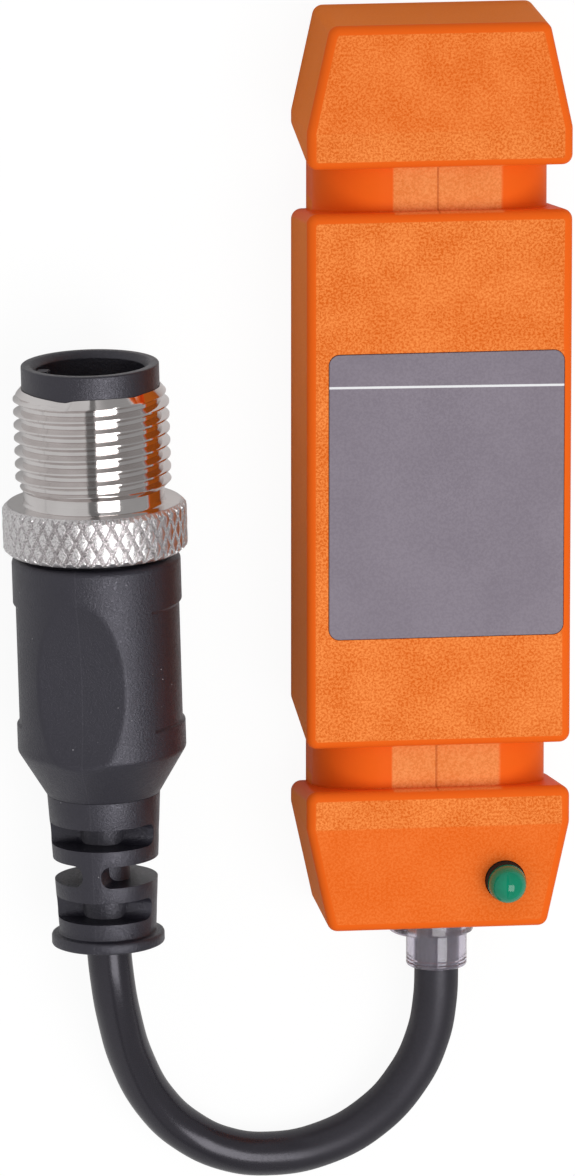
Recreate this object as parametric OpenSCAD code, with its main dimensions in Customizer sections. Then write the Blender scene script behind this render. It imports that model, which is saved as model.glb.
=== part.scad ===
// Inductive proximity sensor: flat moulded head with two tie grooves, short cable and M12 cable plug.
// Millimetres. The head lies on its back at z = 0, its front faces +Z, and its cap end faces +Y.

/* [Housing] */
// Width of the housing across its long sides
body_w = 20.2; // [19.4:0.1:24]
// Length of the housing from the cable end to the cap end
body_l = 70; // [69:0.5:90]
// Depth of the housing from its back to its front face
body_d = 10; // [9.8:0.1:13]
// How far each side draws in from the shoulders to the end faces
end_inset = 1.6; // [1:0.1:1.8]
// Length of the straight sides between a groove and the taper of an end block
shoulder_l = 2.8; // [2:0.1:4]
// Radius of the rounded edges round the front faces
edge_r = 0.8; // [0.5:0.1:1.2]
// Thickness of the housing's wall at the necks
wall_t = 1.4; // [1:0.1:1.6]
// Thickness of the two end walls
end_wall_t = 2; // [1.8:0.1:2.6]

/* [Tie grooves] */
// Distance of each groove's middle from the middle of the housing
groove_y = 22.35; // [19:0.05:23]
// Width of a groove at the front
groove_w = 3.4; // [2.6:0.1:4]
// Width of a groove at the back
groove_back_w = 6; // [4.6:0.1:6.4]
// How far the necks stand back from the long sides
neck_inset = 1.15; // [0.8:0.05:1.4]
// How far the necks stand back from the front face
neck_drop = 1.6; // [1.2:0.1:1.8]
// Radius of the necks' front corners
neck_r = 5; // [4:0.1:5.4]

/* [Back cover] */
// Thickness of the back cover
cover_t = 1.2; // [0.8:0.1:1.4]
// Width of the ledge that the cover seats on
ledge_w = 0.4; // [0.3:0.05:0.5]
// Radius of the cover's corners
cover_r = 1.2; // [0.8:0.1:2]

/* [Label] */
// Width of the label
label_w = 17.9; // [12:0.1:18.2]
// Length of the label
label_l = 22; // [14:0.1:30]
// Thickness of the label
label_t = 0.25; // [0.2:0.01:0.4]
// Depth of the recess that the label lies in
label_recess = 0.2; // [0.1:0.01:0.3]
// Radius of the label's corners
label_r = 0.8; // [0.4:0.1:2]
// Distance of the label's middle to the right of the housing's middle
label_x = 0.5; // [-0.5:0.05:0.7]
// Distance of the label's middle below the housing's middle
label_drop = 1.05; // [-2:0.05:4]

/* [Status lamp] */
// Diameter of the lamp's body
led_d = 2.86; // [2.4:0.02:3]
// Height of the lamp from its foot to its top
led_h = 5.7; // [4.9:0.1:6.4]
// Diameter of the lamp's foot flange
led_flange_d = 3.8; // [3.4:0.1:4]
// Height of the lamp's foot flange
led_flange_h = 1; // [0.6:0.1:1.2]
// Distance of the lamp from the right side of the housing
led_side = 5; // [4.7:0.1:5.5]
// Distance of the lamp from the cable end of the housing
led_inset = 3.8; // [3.8:0.1:6]
// Thickness of the front wall over the lamp's flange
led_wall = 1.9; // [1.6:0.1:2.4]

/* [Electronics] */
// Thickness of the circuit board
board_t = 0.8; // [0.6:0.1:1]
// Gap between the back cover and the circuit board
board_lift = 0.2; // [0.15:0.05:0.4]
// Gap beside the circuit board
board_side = 0.6; // [0.4:0.1:1.2]
// Diameter of the ferrite core
coil_d = 7.8; // [6:0.1:8]
// Height of the ferrite core
coil_h = 3.2; // [2.6:0.1:3.6]
// Thickness of the housing's front wall over the coil
coil_wall = 1; // [0.8:0.1:1.4]
// Distance of the coil's middle from the cap end
coil_inset = 6.3; // [6.2:0.1:6.4]

/* [Cable] */
// Diameter of the cable's jacket
cable_d = 3.4; // [3:0.1:3.6]
// Diameter of each insulated core
core_d = 1; // [0.8:0.05:1.05]
// Distance of the cable bush to the right of the housing's middle
bush_x = 0.6; // [0:0.1:1.2]
// Height of the cable bush as a share of the housing's depth
bush_share = 0.44; // [0.43:0.01:0.45]
// Diameter of the bush's outer flange
bush_flange_d = 6.5; // [5.6:0.1:7]
// Thickness of the bush's outer flange
bush_flange_t = 1.3; // [0.8:0.1:1.6]
// Diameter of the bush's tube
bush_d = 4.65; // [4.4:0.05:4.8]
// Length of the bush's tube beyond its flange
bush_l = 2.8; // [2:0.1:3.2]

/* [Plug grip] */
// Diameter of the plug's grip
grip_d = 12.8; // [12:0.1:13.6]
// Length of the grip's round body
grip_l = 15.3; // [14.6:0.1:18]
// Radius of the shoulder at the grip's top
shoulder_r = 0.6; // [0.5:0.1:1.2]
// Length of the cone between the grip and the bend relief
cone_l = 3.5; // [2.5:0.1:5]
// Length of the bend relief
relief_l = 11.8; // [11:0.1:14]
// Diameter of the bend relief next to the cone
relief_d = 8.6; // [7.8:0.1:9.4]
// Diameter of the bend relief next to its end flange
relief_end_d = 7.3; // [6.6:0.1:7.6]
// Diameter of the bend relief's end flange
end_flange_d = 8.6; // [8:0.1:9.4]
// Thickness of the bend relief's end flange
end_flange_t = 0.9; // [0.6:0.1:1.2]
// Width of each relief slot
slot_w = 1.7; // [1.2:0.1:1.8]
// Width of each ring between the relief slots
slot_ring_w = 1.2; // [1:0.1:1.4]
// Width of the bridges that cross the relief slots
slot_bridge_w = 1.5; // [1.3:0.1:2.6]
// Depth of the finger dishes
dish_depth = 1; // [0.5:0.1:1.1]
// Radius of the finger dishes
dish_r = 23.6; // [18:0.2:28]
// Turn of the finger dishes about the plug's axis
grip_turn = 20.8; // [0:0.2:40]

/* [Plug contacts] */
// Diameter of the carrier's collar above the ring
collar_d = 10.45; // [10.3:0.05:11]
// Length of the carrier's collar
collar_l = 1.65; // [1.2:0.05:2]
// Diameter of the carrier's barrel that the ring turns on
barrel_d = 9.7; // [9.5:0.05:9.75]
// Diameter of the socket round the pins
socket_d = 8.4; // [8:0.1:8.6]
// Depth of the socket
socket_h = 8.6; // [7:0.1:9.4]
// Diameter of a contact pin
pin_d = 1; // [0.8:0.05:1.1]
// Diameter of the circle that the pins stand on
pin_circle_d = 5.2; // [4.8:0.1:5.4]
// Depth of the pins' tips below the rim
pin_tip_drop = 2.2; // [1.6:0.1:3]

/* [Coupling ring] */
// Crest diameter of the thread
thread_d = 11.8; // [11.7:0.05:12]
// Pitch of the thread
thread_pitch = 1; // [0.8:0.1:1.2]
// Depth of the thread
thread_depth = 0.54; // [0.4:0.02:0.56]
// Length of the thread
thread_l = 7.8; // [6:0.1:9]
// Width of the undercut below the thread
undercut_w = 1.1; // [0.8:0.1:1.6]
// Diameter over the knurl
knurl_d = 14; // [13.4:0.1:14.4]
// Depth of the knurl
knurl_depth = 0.28; // [0.2:0.02:0.36]
// Length of the knurled flange
knurl_l = 3.7; // [3:0.1:5]
// Number of knurl ridges each way round the ring
knurl_count = 40; // [30:2:44]
// Radial clearance between the ring and the carrier
ring_gap = 0.07; // [0.05:0.01:0.09]
// End clearance of the ring at each side
ring_end_gap = 0.1; // [0.05:0.01:0.15]

/* [Hidden] */
$fn = 64;

// Clearances
fit_gap = 0.05;
cut = 0.5;

// Housing
half_l = body_l / 2;
groove_front = groove_w / 2;
groove_back = groove_back_w / 2;
back_land = 0.3;
neck_half_w = body_w / 2 - neck_inset;
neck_top = body_d - neck_drop;
cavity_half_w = neck_half_w - wall_t;
cavity_l = body_l - 2 * end_wall_t;
cover_w = 2 * (cavity_half_w + ledge_w);
cover_l = cavity_l + 2 * ledge_w;

// Lamp
led_x = body_w / 2 - led_side;
led_y = led_inset - half_l;
led_foot = body_d - led_wall - led_flange_h;
led_lead_pitch = 1.27;
led_lead_r = 0.25;
led_hole_gap = 0.12;
led_flange_gap = 0.2;

// Board and the parts on it
board_z = cover_t + board_lift;
board_top = board_z + board_t;
board_w = 2 * (cavity_half_w - board_side);
bush_foot_t = 1;
bush_foot_d = 4.8;
board_foot_gap = 0.3;
board_head_gap = 0.7;
board_notch_side = 0.5;
board_notch_l = 1.6;
board_start = -half_l + end_wall_t + bush_foot_t + board_foot_gap;
board_end = half_l - end_wall_t - board_head_gap;
chip_at = [0, 11];
chip_size = [5, 4, 1.6];
transistor_at = [1.5, -15];
transistor_size = [6.5, 3.5, 1.6];
diode_at = [-4, -21];
diode_size = [2.6, 4.3, 2.2];
capacitor_places = [[-4.4, 3], [4.4, 3], [-4.4, -11]];
capacitor_size = [1.6, 3.2, 1.2];
resistor_first = -7;
resistor_pitch = 3;
resistor_count = 5;
resistor_size = [2, 1.25, 0.5];

// Coil
coil_y = half_l - coil_inset;
coil_top = body_d - coil_wall - fit_gap;
coil_foot = coil_top - coil_h;
core_base_t = 0.9;
core_shell_t = 0.7;
core_post_d = 3.2;
bobbin_wall = 0.3;
bobbin_flange_t = 0.25;
bobbin_foot = coil_foot + core_base_t + fit_gap;
bobbin_h = coil_top - bobbin_foot - fit_gap;
bobbin_bore = core_post_d / 2 + fit_gap;
bobbin_r = coil_d / 2 - core_shell_t - fit_gap;
coil_lead_x = 1.2;
coil_lead_r = 0.15;
coil_side_gap = 0.2;
winding_gap = 0.02;

// Cable inside the housing
bush_z = body_d * bush_share;
jacket_r = cable_d / 2;
jacket_end = 4.8 - half_l;
clamp_l = 1.2;
clamp_t = 0.25;
clamp_r = jacket_r + fit_gap + clamp_t;
clamp_start = end_wall_t + bush_foot_t + 0.2;
core_spread = 1.15;
core_bend = 1.2;
core_start = jacket_end + 0.02;
core_run = [2, 3.4, 2];

// Plug, with heights measured along its axis from the cable end
plug_rest = 0.05;
plug_tilt = 1.62;
jacket_stop = 17.75;
grip_foot = relief_l + cone_l;
grip_top = grip_foot + grip_l;
ring_foot = grip_top + ring_end_gap;
thread_foot = ring_foot + knurl_l + undercut_w;
ring_top = thread_foot + thread_l;
collar_foot = ring_top + ring_end_gap;
rim = collar_foot + collar_l;
end_ring_w = 1.3;
dish_up = 5.7;
panel_up = 2.1;
panel_h = 9.3;
panel_depth = 0.2;
panel_spread = 70;
barrel_r = barrel_d / 2;
ring_bore_r = barrel_r + ring_gap;
thread_r = thread_d / 2;
thread_root_r = thread_r - thread_depth;
thread_root_half = 0.1;
thread_groove_half = thread_root_half + thread_depth * tan(30);
thread_lead = 0.75;
knurl_rows = 3;
knurl_steps = 2 * knurl_count;
knurl_edge = 0.3;
knurl_r = knurl_d / 2;
anchor_l = 4.2;
anchor_foot_l = 1.5;
anchor_groove_w = 1;
anchor_groove_r = 4.3;
carrier_foot = grip_top - anchor_l;
socket_floor = rim - socket_h;
lead_in_r = 4.6;
lead_in_h = 0.8;
key_w = 1.2;
key_drop = 1.2;
key_turn = 150;
premould_r = 4.3;
premould_foot = jacket_stop + fit_gap;
premould_top = carrier_foot - fit_gap;
cup_l = 1.9;
cup_r = 0.65;
cup_foot = premould_top - cup_l;
pin_turn = 45;
pin_gap = 0.02;
plug_core_gap = 0.2;
plug_core_circle_r = 1;
plug_core_room = 0.4;

// Route of the cable, from its end inside the housing to its end inside the plug
CABLE_ROUTE = [
    [0.6, -30.2, 4.4], [0.6, -35, 4.4], [0.6, -39, 4.4], [0.5, -42, 4.25], [0, -45, 3.8],
    [-1.4, -48.3, 3.2], [-4.1, -51.6, 2.4], [-7.9, -53.8, 1.9], [-12, -54.5, 1.75],
    [-15.4, -54, 1.75], [-18.4, -52.4, 2], [-20.9, -49.8, 2.9], [-22.9, -46, 4.4],
    [-24.1, -42, 6], [-24.7, -38.8, 6.85], [-25, -35.8, 7.05], [-25.25, -27, 7.05], [-25.5, -18.1, 7.05]
];
route_exit = CABLE_ROUTE[1];
route_shift = [bush_x - route_exit[0], -half_l - route_exit[1], bush_z - route_exit[2]];
plug_end = [-25 + route_shift[0], -35.8 + route_shift[1], knurl_d / 2 + plug_rest];

// Frames that pieces are placed in
module on_bush_axis() {
    translate([bush_x, -half_l, bush_z]) rotate([90, 0, 0]) children();
}

module on_plug_axis() {
    translate(plug_end) rotate([0, 0, plug_tilt]) rotate([-90, 0, 0]) children();
}

module on_grip_side(turn) {
    rotate([0, 0, turn - 90 - grip_turn]) children();
}

// Shapes that several pieces use
module rounded_plate(width, length, radius, height) {
    linear_extrude(height) {
        square([width - 2 * radius, length], center = true);
        square([width, length - 2 * radius], center = true);
        for (x = [-1, 1], y = [-1, 1])
            translate([x * (width / 2 - radius), y * (length / 2 - radius)]) circle(radius);
    }
}

module ring(outer, inner, height) {
    difference() {
        cylinder(h = height, r = outer);
        translate([0, 0, -cut]) cylinder(h = height + 2 * cut, r = inner);
    }
}

module rod(from, to, radius) {
    span = to - from;
    length = norm(span);
    translate(from)
        rotate([0, acos(span[2] / length), atan2(span[1], span[0])])
            cylinder(h = length, r = radius);
}

module on_board(place, size, grow) {
    translate([place[0] - size[0] / 2 - grow, place[1] - size[1] / 2 - grow, board_top - grow])
        cube([size[0] + 2 * grow, size[1] + 2 * grow, size[2] + 2 * grow]);
}

// Housing: one moulding of three blocks that share a narrower core
module moulded_block(front, back) {
    hull() {
        for (p = front, side = [-1, 1])
            translate([side * (p[0] - edge_r), p[1], body_d - edge_r]) sphere(edge_r, $fn = 32);
        for (p = back, side = [-1, 1])
            translate([side * (p[0] - edge_r), p[1], 0]) cylinder(h = back_land, r = edge_r, $fn = 32);
    }
}

module middle_block() {
    front_y = groove_y - groove_front - edge_r;
    back_y = groove_y - groove_back - edge_r;
    moulded_block(
        [[body_w / 2, front_y], [body_w / 2, -front_y]],
        [[body_w / 2, back_y], [body_w / 2, -back_y]]
    );
}

module end_block(way) {
    shoulder_y = groove_y + groove_front + shoulder_l;
    end_x = body_w / 2 - end_inset;
    end_y = half_l - edge_r;
    moulded_block(
        [[body_w / 2, way * (groove_y + groove_front + edge_r)], [body_w / 2, way * shoulder_y],
            [end_x, way * end_y]],
        [[body_w / 2, way * (groove_y + groove_back + edge_r)], [body_w / 2, way * shoulder_y],
            [end_x, way * end_y]]
    );
}

module core_bar(length, inset, floor_z) {
    half = neck_half_w - inset;
    corner_x = neck_half_w - neck_r;
    corner_z = neck_top - neck_r;
    rotate([90, 0, 0]) linear_extrude(length, center = true) intersection() {
        union() {
            translate([-half, floor_z]) square([2 * half, corner_z - floor_z]);
            translate([-corner_x, floor_z]) square([2 * corner_x, neck_top - inset - floor_z]);
            for (side = [-1, 1]) translate([side * corner_x, corner_z]) circle(neck_r - inset);
        }
        translate([-half, floor_z]) square([2 * half, neck_top - inset - floor_z]);
    }
}

module coil_pocket() {
    translate([0, coil_y, board_top + cut])
        cylinder(h = coil_top + fit_gap - board_top - cut, r = coil_d / 2 + coil_side_gap);
}

module led_pocket() {
    translate([led_x, led_y, board_top + cut])
        cylinder(h = led_foot + led_flange_h - board_top - cut, r = led_flange_d / 2 + led_flange_gap);
}

module housing() {
    color("darkorange") difference() {
        union() {
            middle_block();
            end_block(1);
            end_block(-1);
            core_bar(2 * (groove_y + groove_back + edge_r), 0, 0);
        }
        core_bar(cavity_l, wall_t, -cut);
        translate([0, 0, -cut])
            rounded_plate(cover_w + 2 * fit_gap, cover_l + 2 * fit_gap, cover_r, cut + cover_t);
        coil_pocket();
        led_pocket();
        translate([led_x, led_y, led_foot]) cylinder(h = 2 * body_d, r = led_d / 2 + led_hole_gap);
        on_bush_axis() translate([0, 0, -end_wall_t - cut])
            cylinder(h = end_wall_t + 2 * cut, r = bush_d / 2 + fit_gap);
        translate([label_x, -label_drop, body_d - label_recess])
            rounded_plate(label_w + 2 * fit_gap, label_l + 2 * fit_gap, label_r + fit_gap, cut);
    }
}

module back_cover() {
    color("orange") rounded_plate(cover_w, cover_l, cover_r - fit_gap, cover_t - fit_gap);
}

module name_label() {
    color("slategray") translate([label_x, -label_drop, body_d - label_recess])
        rounded_plate(label_w, label_l, label_r, label_t);
}

// Lamp with a flange that seats under the front wall
module led_form(gap) {
    translate([led_x, led_y, led_foot - gap]) {
        cylinder(h = led_flange_h + 2 * gap, r = led_flange_d / 2 + gap);
        cylinder(h = led_h - led_d / 2 + gap, r = led_d / 2 + gap);
        translate([0, 0, led_h - led_d / 2 + gap]) sphere(led_d / 2 + gap);
    }
}

module led_lead_forms(gap) {
    for (side = [-1, 1])
        translate([led_x + side * led_lead_pitch, led_y, board_top - gap])
            cylinder(h = led_foot - board_top + 2 * gap, r = led_lead_r + gap);
}

module status_led() {
    color("mediumseagreen") led_form(0);
}

module led_leads() {
    color("silver") led_lead_forms(0);
}

// Clear bush: inner foot, barrel in the end wall, outer flange and tube
module cable_bush() {
    chamfer = 0.2;
    lip = 0.15;
    bore = jacket_r + fit_gap;
    barrel = bush_d / 2;
    flange = bush_flange_d / 2;
    tube_end = bush_flange_t + bush_l;
    color("gainsboro", 0.6) on_bush_axis() rotate_extrude() polygon([
        [bore, -end_wall_t - bush_foot_t], [bush_foot_d / 2, -end_wall_t - bush_foot_t],
        [bush_foot_d / 2, -end_wall_t], [barrel, -end_wall_t], [barrel, 0], [flange, 0],
        [flange, bush_flange_t - chamfer], [flange - chamfer, bush_flange_t],
        [barrel, bush_flange_t], [barrel, tube_end - lip], [barrel - lip, tube_end], [bore, tube_end]
    ]);
}

// Electronics
module board_form(gap) {
    notch = 2 * (clamp_r + board_notch_side - gap);
    difference() {
        translate([-board_w / 2 - gap, board_start - gap, board_z - gap])
            cube([board_w + 2 * gap, board_end - board_start + 2 * gap, board_t + 2 * gap]);
        translate([bush_x - notch / 2, board_start - cut, board_z - cut])
            cube([notch, cut + board_notch_l - gap, board_t + 2 * cut]);
    }
}

module chip_form(gap) {
    on_board(chip_at, chip_size, gap);
}

module transistor_form(gap) {
    on_board(transistor_at, transistor_size, gap);
}

module diode_form(gap) {
    on_board(diode_at, diode_size, gap);
}

module capacitor_forms(gap) {
    for (place = capacitor_places) on_board(place, capacitor_size, gap);
}

module resistor_forms(gap) {
    for (i = [0:resistor_count - 1])
        on_board([0, resistor_first + i * resistor_pitch], resistor_size, gap);
}

module circuit_board() {
    color("darkgreen") board_form(0);
}

module sensor_chip() {
    color("dimgray") chip_form(0);
}

module output_transistor() {
    color("dimgray") transistor_form(0);
}

module protection_diode() {
    color("dimgray") diode_form(0);
}

module capacitors() {
    color("tan") capacitor_forms(0);
}

module resistors() {
    color("black") resistor_forms(0);
}

// Coil that senses the target through the cap block's front wall
module on_coil_axis(height) {
    translate([0, coil_y, height]) children();
}

module coil_form(gap) {
    on_coil_axis(coil_foot - gap) cylinder(h = coil_h + 2 * gap, r = coil_d / 2 + gap);
}

module coil_lead_forms(gap) {
    for (side = [-1, 1])
        translate([side * coil_lead_x, coil_y, board_top - gap])
            cylinder(h = coil_foot - board_top + 2 * gap, r = coil_lead_r + gap);
}

module ferrite_core() {
    color("dimgray") on_coil_axis(coil_foot) {
        cylinder(h = core_base_t, r = coil_d / 2);
        cylinder(h = coil_h, r = core_post_d / 2);
        ring(coil_d / 2, coil_d / 2 - core_shell_t, coil_h);
    }
}

module coil_bobbin() {
    color("white") on_coil_axis(bobbin_foot) {
        ring(bobbin_bore + bobbin_wall, bobbin_bore, bobbin_h);
        ring(bobbin_r, bobbin_bore, bobbin_flange_t);
        translate([0, 0, bobbin_h - bobbin_flange_t]) ring(bobbin_r, bobbin_bore, bobbin_flange_t);
    }
}

module coil_winding() {
    color("peru") on_coil_axis(bobbin_foot + bobbin_flange_t + winding_gap)
        ring(bobbin_r - winding_gap, bobbin_bore + bobbin_wall + winding_gap,
            bobbin_h - 2 * (bobbin_flange_t + winding_gap));
}

module coil_leads() {
    color("peru") coil_lead_forms(0);
}

// Cable ends inside the housing
module jacket_form(gap) {
    on_bush_axis() translate([0, 0, -half_l - jacket_end - gap])
        cylinder(h = half_l + jacket_end, r = jacket_r + gap);
}

module clamp_form(gap) {
    on_bush_axis() translate([0, 0, -clamp_start - clamp_l - gap])
        cylinder(h = clamp_l + 2 * gap, r = clamp_r + gap);
}

module bush_foot_form(gap) {
    on_bush_axis() translate([0, 0, -end_wall_t - bush_foot_t - gap])
        cylinder(h = bush_foot_t + gap, r = bush_foot_d / 2 + gap);
}

module core_form(place, gap) {
    run = core_run[place];
    translate([bush_x + (place - 1) * core_spread, core_start, bush_z]) {
        translate([0, -gap, 0]) rotate([-90, 0, 0]) cylinder(h = run + gap, r = core_d / 2 + gap);
        translate([0, run, -core_bend]) rotate([90, 0, 90])
            rotate_extrude(angle = 90) translate([core_bend, 0]) circle(core_d / 2 + gap);
        translate([0, run + core_bend, board_top - bush_z - gap])
            cylinder(h = bush_z - core_bend - board_top + gap, r = core_d / 2 + gap);
    }
}

module cable_clamp() {
    color("silver") on_bush_axis() translate([0, 0, -clamp_start - clamp_l])
        ring(clamp_r, jacket_r + fit_gap, clamp_l);
}

module core_brown() {
    color("saddlebrown") core_form(0, 0);
}

module core_blue() {
    color("royalblue") core_form(1, 0);
}

module core_black() {
    color("black") core_form(2, 0);
}

// Resin that fills the housing round everything in it
module potting() {
    color("burlywood") difference() {
        core_bar(cavity_l - 2 * fit_gap, wall_t + fit_gap, cover_t);
        board_form(fit_gap);
        chip_form(fit_gap);
        transistor_form(fit_gap);
        diode_form(fit_gap);
        capacitor_forms(fit_gap);
        resistor_forms(fit_gap);
        coil_form(fit_gap);
        coil_lead_forms(fit_gap);
        led_form(fit_gap);
        led_lead_forms(fit_gap);
        jacket_form(fit_gap);
        clamp_form(fit_gap);
        bush_foot_form(fit_gap);
        for (place = [0:2]) core_form(place, fit_gap);
    }
}

// Cable jacket: one tube swept along the route's own points
cable_sides = 8;

function unit(v) = v / norm(v);
function route_way(i) =
    unit(CABLE_ROUTE[min(i + 1, len(CABLE_ROUTE) - 1)] - CABLE_ROUTE[max(i - 1, 0)]);
function route_side(i) = unit(cross(route_way(i), [0, 0, 1]));
function route_point(i, k) =
    let (a = 360 * k / cable_sides, side = route_side(i), up = cross(side, route_way(i)))
    CABLE_ROUTE[i] + jacket_r * (cos(a) * side + sin(a) * up);

module cable() {
    rings = len(CABLE_ROUTE);
    color("black") translate(route_shift) polyhedron(
        points = [for (i = [0:rings - 1], k = [0:cable_sides - 1]) route_point(i, k)],
        faces = concat(
            [[for (k = [0:cable_sides - 1]) k]],
            [[for (k = [cable_sides - 1:-1:0]) (rings - 1) * cable_sides + k]],
            [for (i = [0:rings - 2], k = [0:cable_sides - 1])
                let (a = i * cable_sides + k, b = i * cable_sides + (k + 1) % cable_sides)
                [a, a + cable_sides, b + cable_sides, b]]
        )
    );
}

// Plug grip: soft moulding with finger dishes and a bend relief of three crossed slots
module grip_outline(bore) {
    polygon(concat(
        [[bore, 0], [end_flange_d / 2, 0], [end_flange_d / 2, end_flange_t],
            [relief_end_d / 2, end_flange_t], [relief_d / 2, relief_l], [grip_d / 2, grip_foot]],
        [for (a = [0:15:90])
            [grip_d / 2 - shoulder_r + shoulder_r * cos(a), grip_top - shoulder_r + shoulder_r * sin(a)]],
        [[bore, grip_top]]
    ));
}

module relief_slot(index) {
    foot = end_flange_t + end_ring_w + index * (slot_w + slot_ring_w);
    turn = index % 2 == 0 ? 90 : 0;
    difference() {
        translate([0, 0, foot]) cylinder(h = slot_w, r = relief_d);
        on_grip_side(turn) translate([-relief_d, -slot_bridge_w / 2, foot - cut])
            cube([2 * relief_d, slot_bridge_w, slot_w + 2 * cut]);
    }
}

module finger_dish(turn) {
    on_grip_side(turn) translate([grip_d / 2 - dish_depth + dish_r, 0, grip_foot + dish_up])
        rotate([90, 0, 0]) cylinder(h = 2 * grip_d, r = dish_r, center = true, $fn = 128);
}

module side_panel(turn) {
    on_grip_side(turn - panel_spread / 2) translate([0, 0, grip_foot + panel_up])
        rotate_extrude(angle = panel_spread) translate([grip_d / 2 - panel_depth, 0]) square([2, panel_h]);
}

module carrier_outline(gap) {
    barrel = barrel_r + gap;
    groove = anchor_groove_r + gap;
    groove_foot = carrier_foot + anchor_foot_l + gap;
    groove_head = carrier_foot + anchor_foot_l + anchor_groove_w - gap;
    polygon([
        [0, carrier_foot - gap], [barrel, carrier_foot - gap], [barrel, groove_foot], [groove, groove_foot],
        [groove, groove_head], [barrel, groove_head], [barrel, collar_foot], [0, collar_foot]
    ]);
}

module plug_grip() {
    color("darkslategray") on_plug_axis() difference() {
        rotate_extrude() grip_outline(jacket_r + fit_gap);
        translate([0, 0, jacket_stop])
            cylinder(h = premould_top - jacket_stop + cut, r = premould_r + fit_gap);
        rotate_extrude() carrier_outline(fit_gap);
        for (i = [0:2]) relief_slot(i);
        for (turn = [0, 180]) finger_dish(turn);
        for (turn = [90, 270]) side_panel(turn);
    }
}

// Contacts: carrier with collar, barrel and anchor, and four pins
function pin_way(i) = [cos(pin_turn + 90 * i), sin(pin_turn + 90 * i), 0];
function pin_place(i) = pin_circle_d / 2 * pin_way(i);
function core_place(i) = plug_core_circle_r * pin_way(i);

module contact_carrier() {
    bevel = 0.15;
    color("black") on_plug_axis() {
        difference() {
            union() {
                rotate_extrude() carrier_outline(0);
                rotate_extrude() polygon([
                    [0, collar_foot], [collar_d / 2, collar_foot], [collar_d / 2, rim - bevel],
                    [collar_d / 2 - bevel, rim], [0, rim]
                ]);
            }
            rotate_extrude() polygon([
                [0, socket_floor], [socket_d / 2, socket_floor], [socket_d / 2, rim - lead_in_h],
                [lead_in_r, rim], [lead_in_r, rim + cut], [0, rim + cut]
            ]);
            for (i = [0:3]) translate(pin_place(i)) translate([0, 0, carrier_foot - cut])
                cylinder(h = rim, r = pin_d / 2 + pin_gap);
        }
        rotate([0, 0, key_turn]) translate([socket_d / 2 - 0.8, -key_w / 2, socket_floor - 0.1])
            cube([1, key_w, rim - key_drop - socket_floor]);
    }
}

module contact_pin(i) {
    tip = rim - pin_tip_drop;
    color("gold") on_plug_axis() translate(pin_place(i)) {
        translate([0, 0, cup_foot]) cylinder(h = cup_l, r = cup_r);
        translate([0, 0, cup_foot]) cylinder(h = tip - pin_d / 2 - cup_foot, r = pin_d / 2);
        translate([0, 0, tip - pin_d / 2]) sphere(pin_d / 2);
    }
}

module plug_core_form(i, gap) {
    rod(
        core_place(i) + [0, 0, jacket_stop + plug_core_gap - gap],
        pin_place(i) + [0, 0, cup_foot - plug_core_gap + gap],
        core_d / 2 + gap
    );
}

module plug_core(i) {
    on_plug_axis() plug_core_form(i, 0);
}

module plug_core_brown() {
    color("saddlebrown") plug_core(0);
}

module plug_core_blue() {
    color("royalblue") plug_core(2);
}

module plug_core_black() {
    color("black") plug_core(3);
}

module plug_premould() {
    color("whitesmoke") on_plug_axis() difference() {
        translate([0, 0, premould_foot]) cylinder(h = premould_top - premould_foot, r = premould_r);
        for (i = [0:3]) translate(pin_place(i)) translate([0, 0, cup_foot - fit_gap])
            cylinder(h = cup_l + cut, r = cup_r + fit_gap);
        for (i = [0, 2, 3]) {
            plug_core_form(i, fit_gap);
            translate(core_place(i)) translate([0, 0, jacket_stop - cut])
                cylinder(h = cut + plug_core_room, r = core_d / 2 + 2 * fit_gap);
        }
    }
}

// Coupling ring: thread, undercut and knurled flange on one turned ring
function thread_groove(i) =
    let (middle = thread_foot + (i + thread_lead) * thread_pitch)
    [
        [thread_r, middle - thread_groove_half], [thread_root_r, middle - thread_root_half],
        [thread_root_r, middle + thread_root_half], [thread_r, middle + thread_groove_half]
    ];

module ring_outline() {
    lip = 0.2;
    grooves = floor((thread_l - thread_depth - thread_groove_half) / thread_pitch + 1 - thread_lead);
    polygon(concat(
        [[0, ring_foot + knurl_l / 2], [thread_root_r, ring_foot + knurl_l / 2],
            [thread_root_r, thread_foot], [thread_r, thread_foot + lip]],
        [for (i = [0:grooves - 1]) each thread_groove(i)],
        [[thread_r, ring_top - thread_depth], [thread_root_r, ring_top], [0, ring_top]]
    ));
}

function knurl_r_at(i, j) =
    j == 0 || j == knurl_rows + 2 ? knurl_r - knurl_depth - knurl_edge
    : (i + j) % 2 == 0 ? knurl_r - knurl_depth
    : knurl_r;
function knurl_z_at(j) =
    j == 0 ? ring_foot
    : j == knurl_rows + 2 ? ring_foot + knurl_l
    : ring_foot + knurl_edge + (knurl_l - 2 * knurl_edge) * (j - 1) / knurl_rows;
function knurl_point(i, j) =
    let (a = 360 * i / knurl_steps, r = knurl_r_at(i, j)) [r * cos(a), r * sin(a), knurl_z_at(j)];

// Flange whose rows of points step in and out, so that crossed grooves run between the peaks
module knurled_flange() {
    n = knurl_steps;
    last = knurl_rows + 2;
    polyhedron(
        points = [for (j = [0:last], i = [0:n - 1]) knurl_point(i, j)],
        faces = concat(
            [[for (i = [0:n - 1]) i]],
            [[for (i = [n - 1:-1:0]) last * n + i]],
            [for (j = [0:last - 1], i = [0:n - 1])
                let (a = j * n + i, b = j * n + (i + 1) % n, c = a + n, d = b + n)
                each ((i + j) % 2 == 0 ? [[a, c, d], [a, d, b]] : [[a, c, b], [b, c, d]])]
        )
    );
}

module coupling_ring() {
    color("silver") on_plug_axis() difference() {
        union() {
            rotate_extrude() ring_outline();
            knurled_flange();
        }
        translate([0, 0, ring_foot - cut]) cylinder(h = ring_top, r = ring_bore_r);
    }
}

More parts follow.
